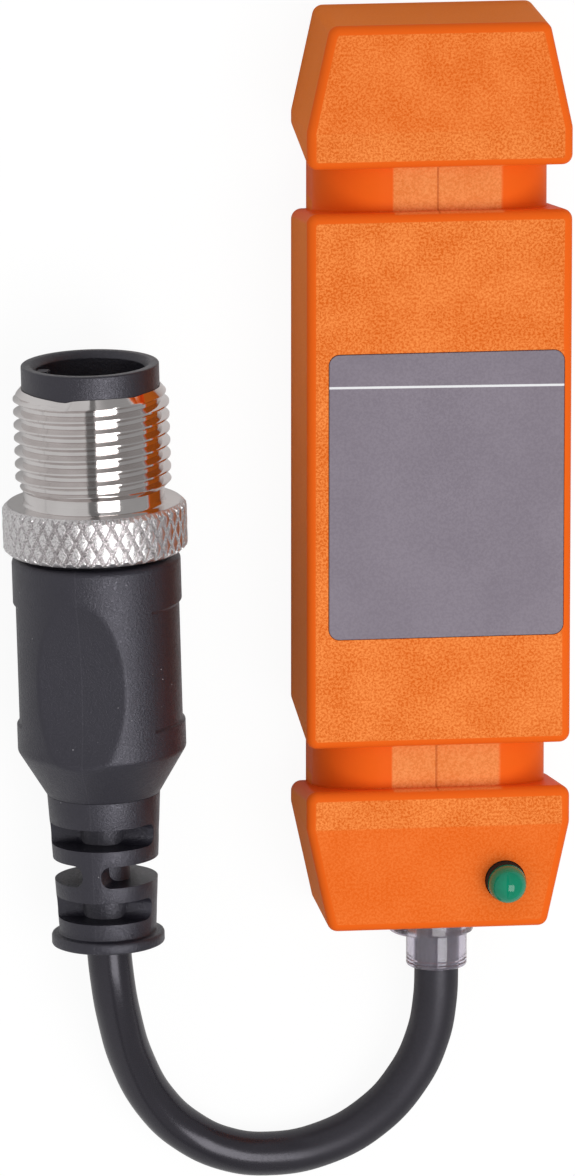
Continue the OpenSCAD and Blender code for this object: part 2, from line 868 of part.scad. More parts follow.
housing();
back_cover();
name_label();
status_led();
cable_bush();
potting();
circuit_board();
sensor_chip();
output_transistor();
protection_diode();
capacitors();
resistors();
ferrite_core();
coil_bobbin();
coil_winding();
coil_leads();
led_leads();
cable_clamp();
core_brown();
core_blue();
core_black();
cable();
plug_grip();
plug_premould();
contact_carrier();
contact_pin(0);  // contact_pin_1
contact_pin(1);  // contact_pin_2
contact_pin(2);  // contact_pin_3
contact_pin(3);  // contact_pin_4
plug_core_brown();
plug_core_blue();
plug_core_black();
coupling_ring();
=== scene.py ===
import math

import bmesh
import bpy
from mathutils import Matrix, Vector


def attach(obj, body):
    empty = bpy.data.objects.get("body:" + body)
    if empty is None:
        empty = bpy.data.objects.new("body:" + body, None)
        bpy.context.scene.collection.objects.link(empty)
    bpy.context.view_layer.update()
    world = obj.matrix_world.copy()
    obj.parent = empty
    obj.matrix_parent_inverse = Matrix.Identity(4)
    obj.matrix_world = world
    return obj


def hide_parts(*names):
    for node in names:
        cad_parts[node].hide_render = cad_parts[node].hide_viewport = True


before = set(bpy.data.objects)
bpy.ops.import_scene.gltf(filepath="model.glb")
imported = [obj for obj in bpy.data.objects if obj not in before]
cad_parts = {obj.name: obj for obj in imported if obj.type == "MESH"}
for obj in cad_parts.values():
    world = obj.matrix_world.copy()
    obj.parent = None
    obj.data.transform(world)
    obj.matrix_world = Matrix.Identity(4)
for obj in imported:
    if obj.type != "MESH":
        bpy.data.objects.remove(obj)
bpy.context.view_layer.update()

# Housing: one moulding of orange thermoplastic, with two necks for cable ties between three blocks.
# The mould is spark-eroded and leaves a fine grain, which is weaker on the sides, and its rounded
# edges are polished. The grain's paler specks are partly painted glints of its sheen. The two mould
# slides meet in a fine line down the middle of each neck.
MM = 0.001
# The grain colours spread partly as real grain and partly as painted glints and painted shade of its
# sheen.
GRAIN_AND_GLINT_LOW, GRAIN_AND_GLINT_HIGH = (0.72, 0.125, 0.010), (1.0, 0.300, 0.072)
NECK_GRAIN_AND_GLINT_LOW, NECK_GRAIN_AND_GLINT_HIGH = (0.80, 0.220, 0.050), (0.94, 0.330, 0.105)
POLISHED_ORANGE, SIDE_ORANGE = (0.88, 0.136, 0.012), (0.87, 0.225, 0.024)
NECK_LINE_ORANGE, NECK_LINE_HALF_WIDTH = (0.42, 0.065, 0.008), 0.055 * MM
POLISHED_ROUGHNESS, GRAIN_ROUGHNESS, GRAIN_DEPTH = 0.36, 0.60, 0.007 * MM
FLAT_START, FLAT_FULL, UPRIGHT_END = 0.975, 0.998, 0.06
GROOVE_LEVEL, GROOVE_HALF, TAPER_START = 22.35 * MM, 1.78 * MM, 26.9 * MM
NECK_GRAIN_LEFT, NECK_GRAIN_RIGHT = -3.3 * MM, 4.8 * MM
NECK_GRAIN_FOOT, NECK_GRAIN_FULL = 7.0 * MM, 7.4 * MM
TONE_BLUR = 0.1 * MM


def new_piece(name, data):
    piece = bpy.data.objects.new(name, data)
    bpy.context.scene.collection.objects.link(piece)
    return piece


def settled(piece):
    """Gives the piece the mesh that its modifiers make, and takes them off."""
    depsgraph = bpy.context.evaluated_depsgraph_get()
    mesh = bpy.data.meshes.new_from_object(piece.evaluated_get(depsgraph), depsgraph=depsgraph)
    mesh.name = piece.name
    piece.modifiers.clear()
    piece.data = mesh
    return piece


def shade_smooth(mesh, sharp_angle):
    bm = bmesh.new()
    bm.from_mesh(mesh)
    for face in bm.faces:
        face.smooth = True
    for edge in bm.edges:
        if len(edge.link_faces) == 2:
            edge.smooth = edge.calc_face_angle() < math.radians(sharp_angle)
    bm.to_mesh(mesh)
    bm.free()


def even_shading(piece):
    """Lets the large faces decide the normals, so that flat walls stay flat beside their fillets."""
    weighted = piece.modifiers.new("large faces first", "WEIGHTED_NORMAL")
    weighted.keep_sharp = True
    weighted.weight = 100
    return settled(piece)


def merged_copy(node, name, sharp_angle):
    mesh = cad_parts[node].data.copy()
    mesh.name = name
    mesh.materials.clear()
    bm = bmesh.new()
    bm.from_mesh(mesh)
    bmesh.ops.remove_doubles(bm, verts=bm.verts, dist=0.002 * MM)
    bmesh.ops.dissolve_degenerate(bm, edges=bm.edges, dist=0.001 * MM)
    bm.to_mesh(mesh)
    bm.free()
    shade_smooth(mesh, sharp_angle)
    return new_piece(name, mesh)


def new_material(name):
    """A material with its node tree and its Principled shader."""
    material = bpy.data.materials.new(name)
    material.use_nodes = True
    return material, material.node_tree, material.node_tree.nodes["Principled BSDF"]


def feed(node, values):
    """Fills a node's inputs by name: each value is a number, a colour or another node's socket."""
    for name, value in values.items():
        if isinstance(value, bpy.types.NodeSocket):
            node.id_data.links.new(value, node.inputs[name])
        else:
            node.inputs[name].default_value = value


def number(tree, operation, *values):
    """One Math node; each value is a number or another node's socket."""
    node = tree.nodes.new("ShaderNodeMath")
    node.operation = operation
    for socket, value in zip(node.inputs, values):
        if isinstance(value, bpy.types.NodeSocket):
            tree.links.new(value, socket)
        else:
            socket.default_value = value
    return node.outputs[0]


def ramp(tree, value, low, high, start=0.0, end=1.0):
    """Value going smoothly from start to end as the input goes from low to high."""
    node = tree.nodes.new("ShaderNodeMapRange")
    node.interpolation_type = "SMOOTHSTEP"
    feed(node, {"Value": value, "From Min": low, "From Max": high, "To Min": start, "To Max": end})
    return node.outputs["Result"]


def axes(tree, vector):
    node = tree.nodes.new("ShaderNodeSeparateXYZ")
    feed(node, {"Vector": vector})
    return node.outputs["X"], node.outputs["Y"], node.outputs["Z"]


def mixed(tree, factor, first, second):
    """Colour between two colours, each a tuple or a socket."""
    node = tree.nodes.new("ShaderNodeMix")
    node.data_type = "RGBA"
    for name, value in (("Factor_Float", factor), ("A_Color", first), ("B_Color", second)):
        socket = next(s for s in node.inputs if s.identifier == name)
        if isinstance(value, bpy.types.NodeSocket):
            tree.links.new(value, socket)
        else:
            socket.default_value = (*value, 1.0) if name.endswith("Color") else value
    return next(s for s in node.outputs if s.identifier == "Result_Color")


def coordinates(tree, output="Object"):
    return tree.nodes.new("ShaderNodeTexCoord").outputs[output]


def bumped(tree, height, distance, under=None):
    node = tree.nodes.new("ShaderNodeBump")
    feed(node, {"Height": height, "Distance": distance, "Strength": 1.0})
    if under is not None:
        feed(node, {"Normal": under})
    return node.outputs["Normal"]


# Mould grain, used by every moulded or cast finish: a height and a tone that vary over the surface.
grain_group = bpy.data.node_groups.new("mould_grain", "ShaderNodeTree")
for label, kind, value in (
    ("Vector", "NodeSocketVector", None),
    ("Scale", "NodeSocketFloat", 3600.0),
    ("Blotch Scale", "NodeSocketFloat", 260.0),
):
    socket = grain_group.interface.new_socket(label, in_out="INPUT", socket_type=kind)
    if value is not None:
        socket.default_value = value
for label in ("Height", "Tone", "Blotch"):
    grain_group.interface.new_socket(label, in_out="OUTPUT", socket_type="NodeSocketFloat")
grain_in = grain_group.nodes.new("NodeGroupInput")
grain_out = grain_group.nodes.new("NodeGroupOutput")
fine = grain_group.nodes.new("ShaderNodeTexNoise")
feed(fine, {"Detail": 4.0, "Roughness": 0.72})
pits = grain_group.nodes.new("ShaderNodeTexVoronoi")
pits.feature = "SMOOTH_F1"
blotch = grain_group.nodes.new("ShaderNodeTexNoise")
feed(blotch, {"Detail": 2.0})
for node, scale in ((fine, "Scale"), (pits, "Scale"), (blotch, "Blotch Scale")):
    feed(node, {"Vector": grain_in.outputs["Vector"], "Scale": grain_in.outputs[scale]})
grains = ramp(grain_group, fine.outputs["Fac"], 0.32, 0.68)
dips = number(grain_group, "MULTIPLY", pits.outputs["Distance"], 0.3)
height = number(grain_group, "SUBTRACT", grains, dips)
feed(grain_out, {"Height": height, "Tone": ramp(grain_group, height, -0.05, 0.75),
                 "Blotch": ramp(grain_group, blotch.outputs["Fac"], 0.3, 0.7)})


def grained(tree, scale, blotch_scale, vector=None):
    node = tree.nodes.new("ShaderNodeGroup")
    node.node_tree = grain_group
    vector = coordinates(tree) if vector is None else vector
    feed(node, {"Vector": vector, "Scale": scale, "Blotch Scale": blotch_scale})
    return node.outputs["Height"], node.outputs["Tone"], node.outputs["Blotch"]


def finish(name, colour, roughness, metallic=0.0, tone=0.06, scale=3600.0, depth=0.004,
           blotch_scale=260.0, spread=0.06):
    """A moulded, cast or drawn finish: colour and roughness vary with the grain, which also bumps."""
    material, tree, skin = new_material(name)
    height, shade, blotches = grained(tree, scale, blotch_scale)
    low = tuple(c * (1 - tone) for c in colour)
    high = tuple(min(1.0, c * (1 + tone)) for c in colour)
    both = number(tree, "MULTIPLY_ADD", shade, 0.6, number(tree, "MULTIPLY", blotches, 0.4))
    feed(skin, {"Base Color": mixed(tree, both, low, high), "Metallic": metallic,
                "Roughness": ramp(tree, both, 0.0, 1.0, roughness + spread, roughness - spread),
                "Normal": bumped(tree, height, depth * MM)})
    return material, tree, skin


def orange_moulding(name, with_necks):
    """Fine grain on the flat faces; the fillets and the necks' corners are polished and deeper orange.
    The end blocks beyond their taper's start come nearer that orange, as painted glint loss; the upright
    sides are paler."""
    material, tree, skin = new_material(name)
    across, along, up = axes(tree, coordinates(tree))
    tilt = number(tree, "ABSOLUTE", axes(tree, coordinates(tree, "Normal"))[2])
    flat = ramp(tree, tilt, FLAT_START, FLAT_FULL)
    grainy = number(tree, "MAXIMUM", flat, ramp(tree, tilt, 0.0, UPRIGHT_END, 0.55, 0.0))
    # The grain's tone spreads the colour: partly real grain, partly painted glints of its sheen.
    height, tone, blotches = grained(tree, 5400.0, 300.0)
    shade = number(tree, "MULTIPLY_ADD", tone, 0.75, number(tree, "MULTIPLY", blotches, 0.25))
    # Painted glint loss: beyond the taper's start the end blocks' grain fades toward the polished orange,
    # as if tilted from the light.
    lower_end_glint_loss = ramp(tree, along, -TAPER_START - TONE_BLUR, -TAPER_START + TONE_BLUR, 0.62, 0.0)
    upper_end_glint_loss = ramp(tree, along, TAPER_START - TONE_BLUR, TAPER_START + TONE_BLUR, 0.0, 0.16)
    painted_glint_loss = number(tree, "ADD", lower_end_glint_loss, upper_end_glint_loss)
    moulded = mixed(tree, painted_glint_loss, mixed(tree, shade, GRAIN_AND_GLINT_LOW, GRAIN_AND_GLINT_HIGH), POLISHED_ORANGE)
    colour = mixed(tree, grainy, POLISHED_ORANGE, moulded)
    colour = mixed(tree, ramp(tree, tilt, 0.0, UPRIGHT_END, 0.7, 0.0), colour, SIDE_ORANGE)
    relief = number(tree, "MULTIPLY", height, grainy)
    rough = grainy
    if with_necks:
        off_groove = number(tree, "SUBTRACT", number(tree, "ABSOLUTE", along), GROOVE_LEVEL)
        off_groove = number(tree, "ABSOLUTE", off_groove)
        in_groove = ramp(tree, off_groove, GROOVE_HALF - TONE_BLUR, GROOVE_HALF + TONE_BLUR, 1.0, 0.0)
        beside_groove = number(tree, "SUBTRACT", 1.0, in_groove)
        from_left = ramp(tree, across, NECK_GRAIN_LEFT - 0.2 * MM, NECK_GRAIN_LEFT)
        to_right = ramp(tree, across, NECK_GRAIN_RIGHT - 0.1 * MM, NECK_GRAIN_RIGHT + 0.25 * MM, 1.0, 0.0)
        on_flat = number(tree, "MULTIPLY", from_left, to_right)
        on_flat = number(tree, "MULTIPLY", on_flat, ramp(tree, up, NECK_GRAIN_FOOT, NECK_GRAIN_FULL))
        # On the neck flats the grain is paler: partly real grain, partly painted glints of its sheen.
        neck = mixed(tree, on_flat, POLISHED_ORANGE, mixed(tree, shade, NECK_GRAIN_AND_GLINT_LOW, NECK_GRAIN_AND_GLINT_HIGH))
        offset = number(tree, "ABSOLUTE", across)
        line = ramp(tree, offset, NECK_LINE_HALF_WIDTH, NECK_LINE_HALF_WIDTH * 2.0, 1.0, 0.0)
        line = number(tree, "MULTIPLY", line, on_flat)
        neck = mixed(tree, number(tree, "MULTIPLY", line, 0.5), neck, NECK_LINE_ORANGE)
        neck_relief = number(tree, "SUBTRACT", number(tree, "MULTIPLY", height, on_flat),
                             number(tree, "MULTIPLY", line, 1.5))
        colour = mixed(tree, in_groove, colour, neck)
        relief = number(tree, "ADD", number(tree, "MULTIPLY", relief, beside_groove),
                        number(tree, "MULTIPLY", neck_relief, in_groove))
        rough = number(tree, "MULTIPLY", grainy, beside_groove)
        rough = number(tree, "MULTIPLY_ADD", on_flat, in_groove, rough)
    feed(skin, {"Base Color": colour, "Specular IOR Level": 0.02,
                "Roughness": ramp(tree, rough, 0.0, 1.0, POLISHED_ROUGHNESS, GRAIN_ROUGHNESS),
                "Normal": bumped(tree, relief, GRAIN_DEPTH)})
    return material


housing = even_shading(merged_copy("housing", "orange_housing", 32))
housing.data.materials.append(orange_moulding("orange_moulding", True))
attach(housing, "sensor")
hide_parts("housing")

# Back cover: a flush plate of the same orange plastic, pressed onto a ledge once the resin is in.
# It is grained like the front, and the narrow joint round it stays open to be seen.
back_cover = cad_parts["back_cover"]
back_cover.data.materials.clear()
back_cover.data.materials.append(orange_moulding("orange_cover", False))

# Label: a grey plastic foil with rounded corners, pressed into a shallow recess of the front.
# It carries one thin white rule near its top and is otherwise left bare.
LABEL_GREY, RULE_WHITE = (0.205, 0.173, 0.215), (0.82, 0.82, 0.84)
LABEL_WIDTH, LABEL_LENGTH = 17.9 * MM, 22.0 * MM
LABEL_FOOT, LABEL_TOP = 9.8 * MM, 10.05 * MM
LABEL_MIDDLE = (0.5 * MM, -1.05 * MM)
LABEL_CORNER, LABEL_EDGE = 0.8 * MM, 0.04 * MM
RULE_LEVEL, RULE_SLOPE, RULE_HALF_WIDTH = 7.36 * MM, -0.0105, 0.085 * MM


def rounded_outline(width, length, radius, middle, steps=12):
    points = []
    for turn, (sx, sy) in enumerate(((1, 1), (-1, 1), (-1, -1), (1, -1))):
        for step in range(steps + 1):
            a = math.radians(90 * (turn + step / steps))
            points.append((middle[0] + sx * (width / 2 - radius) + radius * math.cos(a),
                           middle[1] + sy * (length / 2 - radius) + radius * math.sin(a)))
    return points


def lofted(name, loops, closed=False):
    """A closed skin through loops of equal length, capped at both ends unless it closes on itself."""
    bm = bmesh.new()
    rows = [[bm.verts.new(p) for p in loop] for loop in loops]
    count = len(rows[0])
    pairs = list(zip(rows, rows[1:])) + ([(rows[-1], rows[0])] if closed else [])
    for a, b in pairs:
        for i in range(count):
            bm.faces.new((a[i], a[(i + 1) % count], b[(i + 1) % count], b[i]))
    if not closed:
        bm.faces.new(rows[0])
        bm.faces.new(rows[-1])
    bmesh.ops.remove_doubles(bm, verts=bm.verts, dist=0.0005 * MM)
    bmesh.ops.recalc_face_normals(bm, faces=bm.faces)
    mesh = bpy.data.meshes.new(name)
    bm.to_mesh(mesh)
    bm.free()
    return mesh


loops = []
for inset, level in (
    (0, LABEL_FOOT), (0, LABEL_TOP - LABEL_EDGE),
    (0.3 * LABEL_EDGE, LABEL_TOP - 0.3 * LABEL_EDGE), (LABEL_EDGE, LABEL_TOP),
):
    outline = rounded_outline(LABEL_WIDTH - 2 * inset, LABEL_LENGTH - 2 * inset, LABEL_CORNER - inset,
                              LABEL_MIDDLE)
    loops.append([(x, y, level) for x, y in outline])
label = new_piece("grey_label", lofted("grey_label", loops))
shade_smooth(label.data, 50)
even_shading(label)

foil, tree, skin = finish("printed_foil", LABEL_GREY, 0.45, scale=5200.0, depth=0.0012, blotch_scale=180.0)
across, along, _ = axes(tree, coordinates(tree))
rule = number(tree, "SUBTRACT", along, number(tree, "MULTIPLY_ADD", across, RULE_SLOPE, RULE_LEVEL))
rule = ramp(tree, number(tree, "ABSOLUTE", rule), RULE_HALF_WIDTH * 0.8, RULE_HALF_WIDTH * 1.25, 1.0, 0.0)
ground = skin.inputs["Base Color"].links[0].from_socket
feed(skin, {"Base Color": mixed(tree, rule, ground, RULE_WHITE), "Specular IOR Level": 0.30})
label.data.materials.append(foil)
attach(label, "sensor")
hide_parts("name_label")

# Status lamp: a 3 mm light-emitting diode in green resin, with a flange under the front wall.
# Its foot, up to a small step, is coloured near black as painted shade of the hole, and shows as a dark
# crescent.
LAMP_GREEN, LAMP_SHADE_BLACK = (0.001, 0.232, 0.124), (0.012, 0.010, 0.010)
LAMP_ROUGHNESS, LAMP_SLEEVE_ROUGHNESS = 0.05, 0.95
LAMP_AXIS = (5.1 * MM, -31.2 * MM)
LAMP_FOOT, LAMP_HEIGHT = 7.1 * MM, 5.7 * MM
LAMP_SLEEVE_RADIUS, LAMP_SLEEVE_TOP = 1.49 * MM, 3.95 * MM
LAMP_RADIUS, LAMP_FLANGE_RADIUS, LAMP_FLANGE = 1.43 * MM, 1.9 * MM, 1.0 * MM


def turned(name, profile, place, segments=96, closed=False):
    """A turned shape: (radius, height) points spun round the place's own z axis."""
    loops = []
    for radius, level in profile:
        loops.append([place @ Vector((radius * math.cos(2 * math.pi * i / segments),
                                      radius * math.sin(2 * math.pi * i / segments), level))
                      for i in range(segments)])
    return lofted(name, loops, closed)


lamp_place = Matrix.Translation((*LAMP_AXIS, LAMP_FOOT))
dome_level = LAMP_HEIGHT - LAMP_RADIUS
profile = [(LAMP_FLANGE_RADIUS - 0.1 * MM, 0), (LAMP_FLANGE_RADIUS, 0.1 * MM),
           (LAMP_FLANGE_RADIUS, LAMP_FLANGE - 0.08 * MM), (LAMP_FLANGE_RADIUS - 0.08 * MM, LAMP_FLANGE),
           (LAMP_SLEEVE_RADIUS, LAMP_FLANGE), (LAMP_SLEEVE_RADIUS, LAMP_SLEEVE_TOP - 0.03 * MM),
           (LAMP_SLEEVE_RADIUS - 0.03 * MM, LAMP_SLEEVE_TOP), (LAMP_RADIUS, LAMP_SLEEVE_TOP)]
profile += [(LAMP_RADIUS * math.cos(a), dome_level + LAMP_RADIUS * math.sin(a))
            for a in (math.radians(5 * k) for k in range(18))] + [(LAMP_RADIUS * 0.03, LAMP_HEIGHT)]
lamp = new_piece("green_lamp", turned("green_lamp", profile, lamp_place))
shade_smooth(lamp.data, 40)
even_shading(lamp)
lens, tree, skin = finish("green_lens", LAMP_GREEN, LAMP_ROUGHNESS, tone=0.08, scale=900.0, depth=0.0003,
                          blotch_scale=420.0)
level = axes(tree, coordinates(tree))[2]
# Below the step the resin is coloured near black: painted shade where the lamp stands in its hole.
above_painted_shade = number(tree, "GREATER_THAN", level, LAMP_FOOT + LAMP_SLEEVE_TOP - 0.001 * MM)
resin = skin.inputs["Base Color"].links[0].from_socket
feed(skin, {"Base Color": mixed(tree, above_painted_shade, LAMP_SHADE_BLACK, resin), "Specular IOR Level": 0.42,
            "Roughness": ramp(tree, above_painted_shade, 0.0, 1.0, LAMP_SLEEVE_ROUGHNESS, LAMP_ROUGHNESS)})
lamp.data.materials.append(lens)
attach(lamp, "sensor")
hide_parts("status_led")

# Cable bush: a clear soft plastic tube with a flange, pushed through the end wall from outside and
# held by a foot inside it. The cable shows through in grey, with bright bands where the wall bends light.
BUSH_HAZE = (0.63, 0.59, 0.68)
BUSH_MOUTH = Vector((0.6, -35.0, 4.4)) * MM
BUSH_TUBE_RADIUS, BUSH_FLANGE_TOP = 2.4 * MM, 1.31 * MM
BUSH_FLANGE_SHIFT, BUSH_SHIFT_BLEND = -0.44 * MM, 0.6 * MM
bush_place = Matrix.Translation(BUSH_MOUTH) @ Matrix.Rotation(math.pi / 2, 4, "X")
profile = [(r * MM, z * MM) for r, z in (
    (1.75, -3.0), (2.3, -3.0), (2.4, -2.9), (2.4, -2.1), (2.32, -2.0), (2.325, -0.1), (2.5, 0.0),
    (3.18, 0.0), (3.23, 0.03), (3.25, 0.1), (3.25, 1.14), (3.22, 1.24), (3.13, 1.29), (3.0, 1.3),
    (2.5, 1.3), (2.38, 1.33), (2.325, 1.42), (2.325, 3.38), (2.27, 3.45), (2.325, 3.52), (2.325, 3.66),
    (2.26, 3.73), (2.325, 3.80), (2.315, 3.92), (2.27, 4.02), (2.17, 4.09), (2.05, 4.1), (1.86, 4.1),
    (1.78, 4.07), (1.75, 4.0))]
bush = new_piece("clear_bush", turned("clear_bush", profile, bush_place, closed=True))
for vertex in bush.data.vertices:
    outward = -(vertex.co.y - BUSH_MOUTH.y)
    reach = math.hypot(vertex.co.x - BUSH_MOUTH.x, vertex.co.z - BUSH_MOUTH.z)
    if -0.05 * MM < outward < BUSH_FLANGE_TOP and reach > BUSH_TUBE_RADIUS:
        vertex.co.x += BUSH_FLANGE_SHIFT * min(1.0, (reach - BUSH_TUBE_RADIUS) / BUSH_SHIFT_BLEND)
shade_smooth(bush.data, 30)
even_shading(bush)
clear, _, skin = finish("clear_plastic", BUSH_HAZE, 0.10, tone=0.03, scale=1500.0, depth=0.0008,
                        blotch_scale=300.0, spread=0.02)
feed(skin, {"Transmission Weight": 0.88, "IOR": 1.42,
            "Coat Weight": 0.5, "Coat IOR": 1.5, "Coat Roughness": 0.08})
bush.data.materials.append(clear)
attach(bush, "sensor")
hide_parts("cable_bush")

# Parts sealed in the housing: board with its parts, coil in its ferrite core, wires, clamp and resin.
# They are soldered and crimped together, laid in the housing and cast in resin, and don't show.
# Each has a finish of its own: its name, colour, roughness, metal share and the scale of its grain.
INNER_FINISHES = {
    "potting": ("cast_resin", (0.55, 0.42, 0.25), 0.45, 0.0, 900.0),
    "circuit_board": ("solder_mask", (0.02, 0.16, 0.05), 0.35, 0.0, 2500.0),
    "sensor_chip": ("chip_package", (0.03, 0.03, 0.03), 0.55, 0.0, 5000.0),
    "output_transistor": ("transistor_package", (0.032, 0.031, 0.031), 0.55, 0.0, 5000.0),
    "protection_diode": ("diode_package", (0.034, 0.032, 0.032), 0.55, 0.0, 5000.0),
    "capacitors": ("fired_ceramic", (0.55, 0.40, 0.25), 0.5, 0.0, 4000.0),
    "resistors": ("resistor_glaze", (0.03, 0.03, 0.035), 0.4, 0.0, 4000.0),
    "ferrite_core": ("sintered_ferrite", (0.06, 0.06, 0.065), 0.6, 0.0, 3000.0),
    "coil_bobbin": ("bobbin_plastic", (0.8, 0.8, 0.78), 0.5, 0.0, 2500.0),
    "coil_winding": ("enamelled_wire", (0.75, 0.33, 0.16), 0.3, 1.0, 6000.0),
    "coil_leads": ("coil_wire_ends", (0.75, 0.33, 0.16), 0.3, 1.0, 6000.0),
    "led_leads": ("tinned_leads", (0.70, 0.70, 0.68), 0.3, 1.0, 5000.0),
    "cable_clamp": ("crimped_clamp", (0.68, 0.68, 0.66), 0.3, 1.0, 4000.0),
    "core_brown": ("brown_insulation", (0.16, 0.06, 0.03), 0.4, 0.0, 2500.0),
    "core_blue": ("blue_insulation", (0.03, 0.13, 0.50), 0.4, 0.0, 2500.0),
    "core_black": ("black_insulation", (0.02, 0.02, 0.02), 0.4, 0.0, 2500.0),
}


def dress(nodes):
    for node, (name, colour, roughness, metallic, scale) in nodes.items():
        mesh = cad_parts[node].data
        mesh.materials.clear()
        mesh.materials.append(finish(name, colour, roughness, metallic, scale=scale)[0])


dress(INNER_FINISHES)

# Cable: three insulated cores in a round black jacket of 3.4 mm, extruded with a satin shine.
# It leaves the housing through the bush, lies in a U on the table and ends inside the plug.
CABLE_ROUTE = [
    (0.6, -30.2, 4.4), (0.6, -35, 4.4), (0.6, -39, 4.4), (0.5, -42, 4.25), (0, -45, 3.8),
    (-1.4, -48.3, 3.2), (-4.1, -51.6, 2.4), (-7.9, -53.8, 1.9), (-12, -54.5, 1.75),
    (-15.4, -54, 1.75), (-18.4, -52.4, 2), (-20.9, -49.8, 2.9), (-22.9, -46, 4.4),
    (-24.1, -42, 6), (-24.7, -38.8, 6.85), (-25, -35.8, 7.05), (-25.25, -27, 7.05), (-25.5, -18.1, 7.05),
]
CABLE_RADIUS, CABLE_LENGTH = 1.7 * MM, 75.2 * MM
CABLE_BLACK = (0.0165, 0.0150, 0.0200)
DULL_START, DULL_FULL, DULLNESS = -14 * MM, -3 * MM, 0.22
line = bpy.data.curves.new("black_cable", "CURVE")
line.dimensions = "3D"
line.resolution_u = 10
line.bevel_depth = CABLE_RADIUS
line.bevel_resolution = 10
line.use_fill_caps = True
spline = line.splines.new("BEZIER")
spline.bezier_points.add(len(CABLE_ROUTE) - 1)
for knot, point in zip(spline.bezier_points, CABLE_ROUTE):
    knot.co = Vector(point) * MM
    knot.handle_left_type = knot.handle_right_type = "AUTO"
cable = new_piece("black_cable", line)
jacket, tree, skin = finish("black_jacket", CABLE_BLACK, 0.25, tone=0.12, scale=3800.0, depth=0.0012,
                            blotch_scale=420.0, spread=0.03)
dull = ramp(tree, axes(tree, coordinates(tree))[0], DULL_START, DULL_FULL, 0.0, DULLNESS)
gloss = skin.inputs["Roughness"].links[0].from_socket
feed(skin, {"Roughness": number(tree, "ADD", gloss, dull), "Specular IOR Level": 0.60,
            "Specular Tint": (0.93, 0.90, 1.0, 1.0)})
line.materials.append(jacket)
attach(cable, "sensor")
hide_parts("cable")

# Plug grip: soft black plastic moulded over the plug, with a dish for the finger on two sides, a
# shallow panel on the other two, a cone, and a bend relief that crossed slots make springy.
PLUG_END = Vector((-25.0, -35.8, 7.05)) * MM
PLUG_TILT = math.radians(1.62)
DISH_TURN = 20.8
GRIP_TURN, SLOT_TURN = math.radians(-90 - DISH_TURN), math.radians(-90 - 22.3)
GRIP_BLACK, DUST_GREY, MOULD_LINE_GREY = (0.0110, 0.0100, 0.0155), (0.5, 0.48, 0.5), (0.11, 0.105, 0.12)
GRIP_RADIUS, RELIEF_RADIUS = 6.4 * MM, 4.3 * MM
RELIEF_TOP, GRIP_FOOT, GRIP_TOP = 11.8 * MM, 15.3 * MM, 30.35 * MM
SHOULDER = 0.55 * MM
DISH_RADIUS, DISH_DEPTH, DISH_LEVEL = 23.6 * MM, 1.0 * MM, 21.0 * MM
PANEL_FOOT, PANEL_TOP, PANEL_DEPTH, PANEL_HALF = 17.4 * MM, 26.7 * MM, 0.2 * MM, math.radians(35)
JACKET_BORE, SLEEVE_RADIUS, BRIDGE_HALF = 1.75 * MM, 1.86 * MM, 0.74 * MM
SLOT_FOOT, SLOT_STEP, SLOT_HEIGHT = 2.2 * MM, 2.9 * MM, 1.7 * MM
SLOT_ROUNDING, SLOT_REACH = 0.72 * MM, 7.0 * MM
QUARTER_TURN = [math.radians(15 * k) for k in range(7)]
CARRIER_FOOT, CARRIER_BED_RADIUS = 26.4 * MM, 4.95 * MM
GRIP_SEGMENTS = 320
plug_place = (Matrix.Translation(PLUG_END) @ Matrix.Rotation(PLUG_TILT, 4, "Z")
              @ Matrix.Rotation(-math.pi / 2, 4, "X"))


def softly(value, low, high):
    t = min(1.0, max(0.0, (value - low) / (high - low)))
    return t * t * (3 - 2 * t)


def rounded_min(a, b, blend):
    t = max(0.0, min(1.0, 0.5 + 0.5 * (b - a) / blend))
    return b + (a - b) * t - blend * t * (1 - t)


def grip_radius(base, angle, level):
    """The grip's radius at an angle and height: the turned outline less the dishes and the panels."""
    radius = base
    for dish in (0.0, math.pi):
        off = math.remainder(angle - GRIP_TURN - dish, 2 * math.pi)
        rise = level - DISH_LEVEL
        if abs(off) < math.radians(75) and abs(rise) < DISH_RADIUS:
            flat = (GRIP_RADIUS - DISH_DEPTH + DISH_RADIUS) - math.sqrt(DISH_RADIUS**2 - rise**2)
            radius = rounded_min(radius, flat / math.cos(off), 0.10 * MM)
    for side in (math.pi / 2, -math.pi / 2):
        off = abs(math.remainder(angle - GRIP_TURN - side, 2 * math.pi))
        inside = softly(PANEL_HALF - off, -0.008, 0.012)
        inside *= softly(level, PANEL_FOOT - 0.12 * MM, PANEL_FOOT + 0.20 * MM)
        inside *= softly(-level, -PANEL_TOP - 0.12 * MM, -PANEL_TOP + 0.20 * MM)
        radius = min(radius, base - PANEL_DEPTH * inside)
    return radius


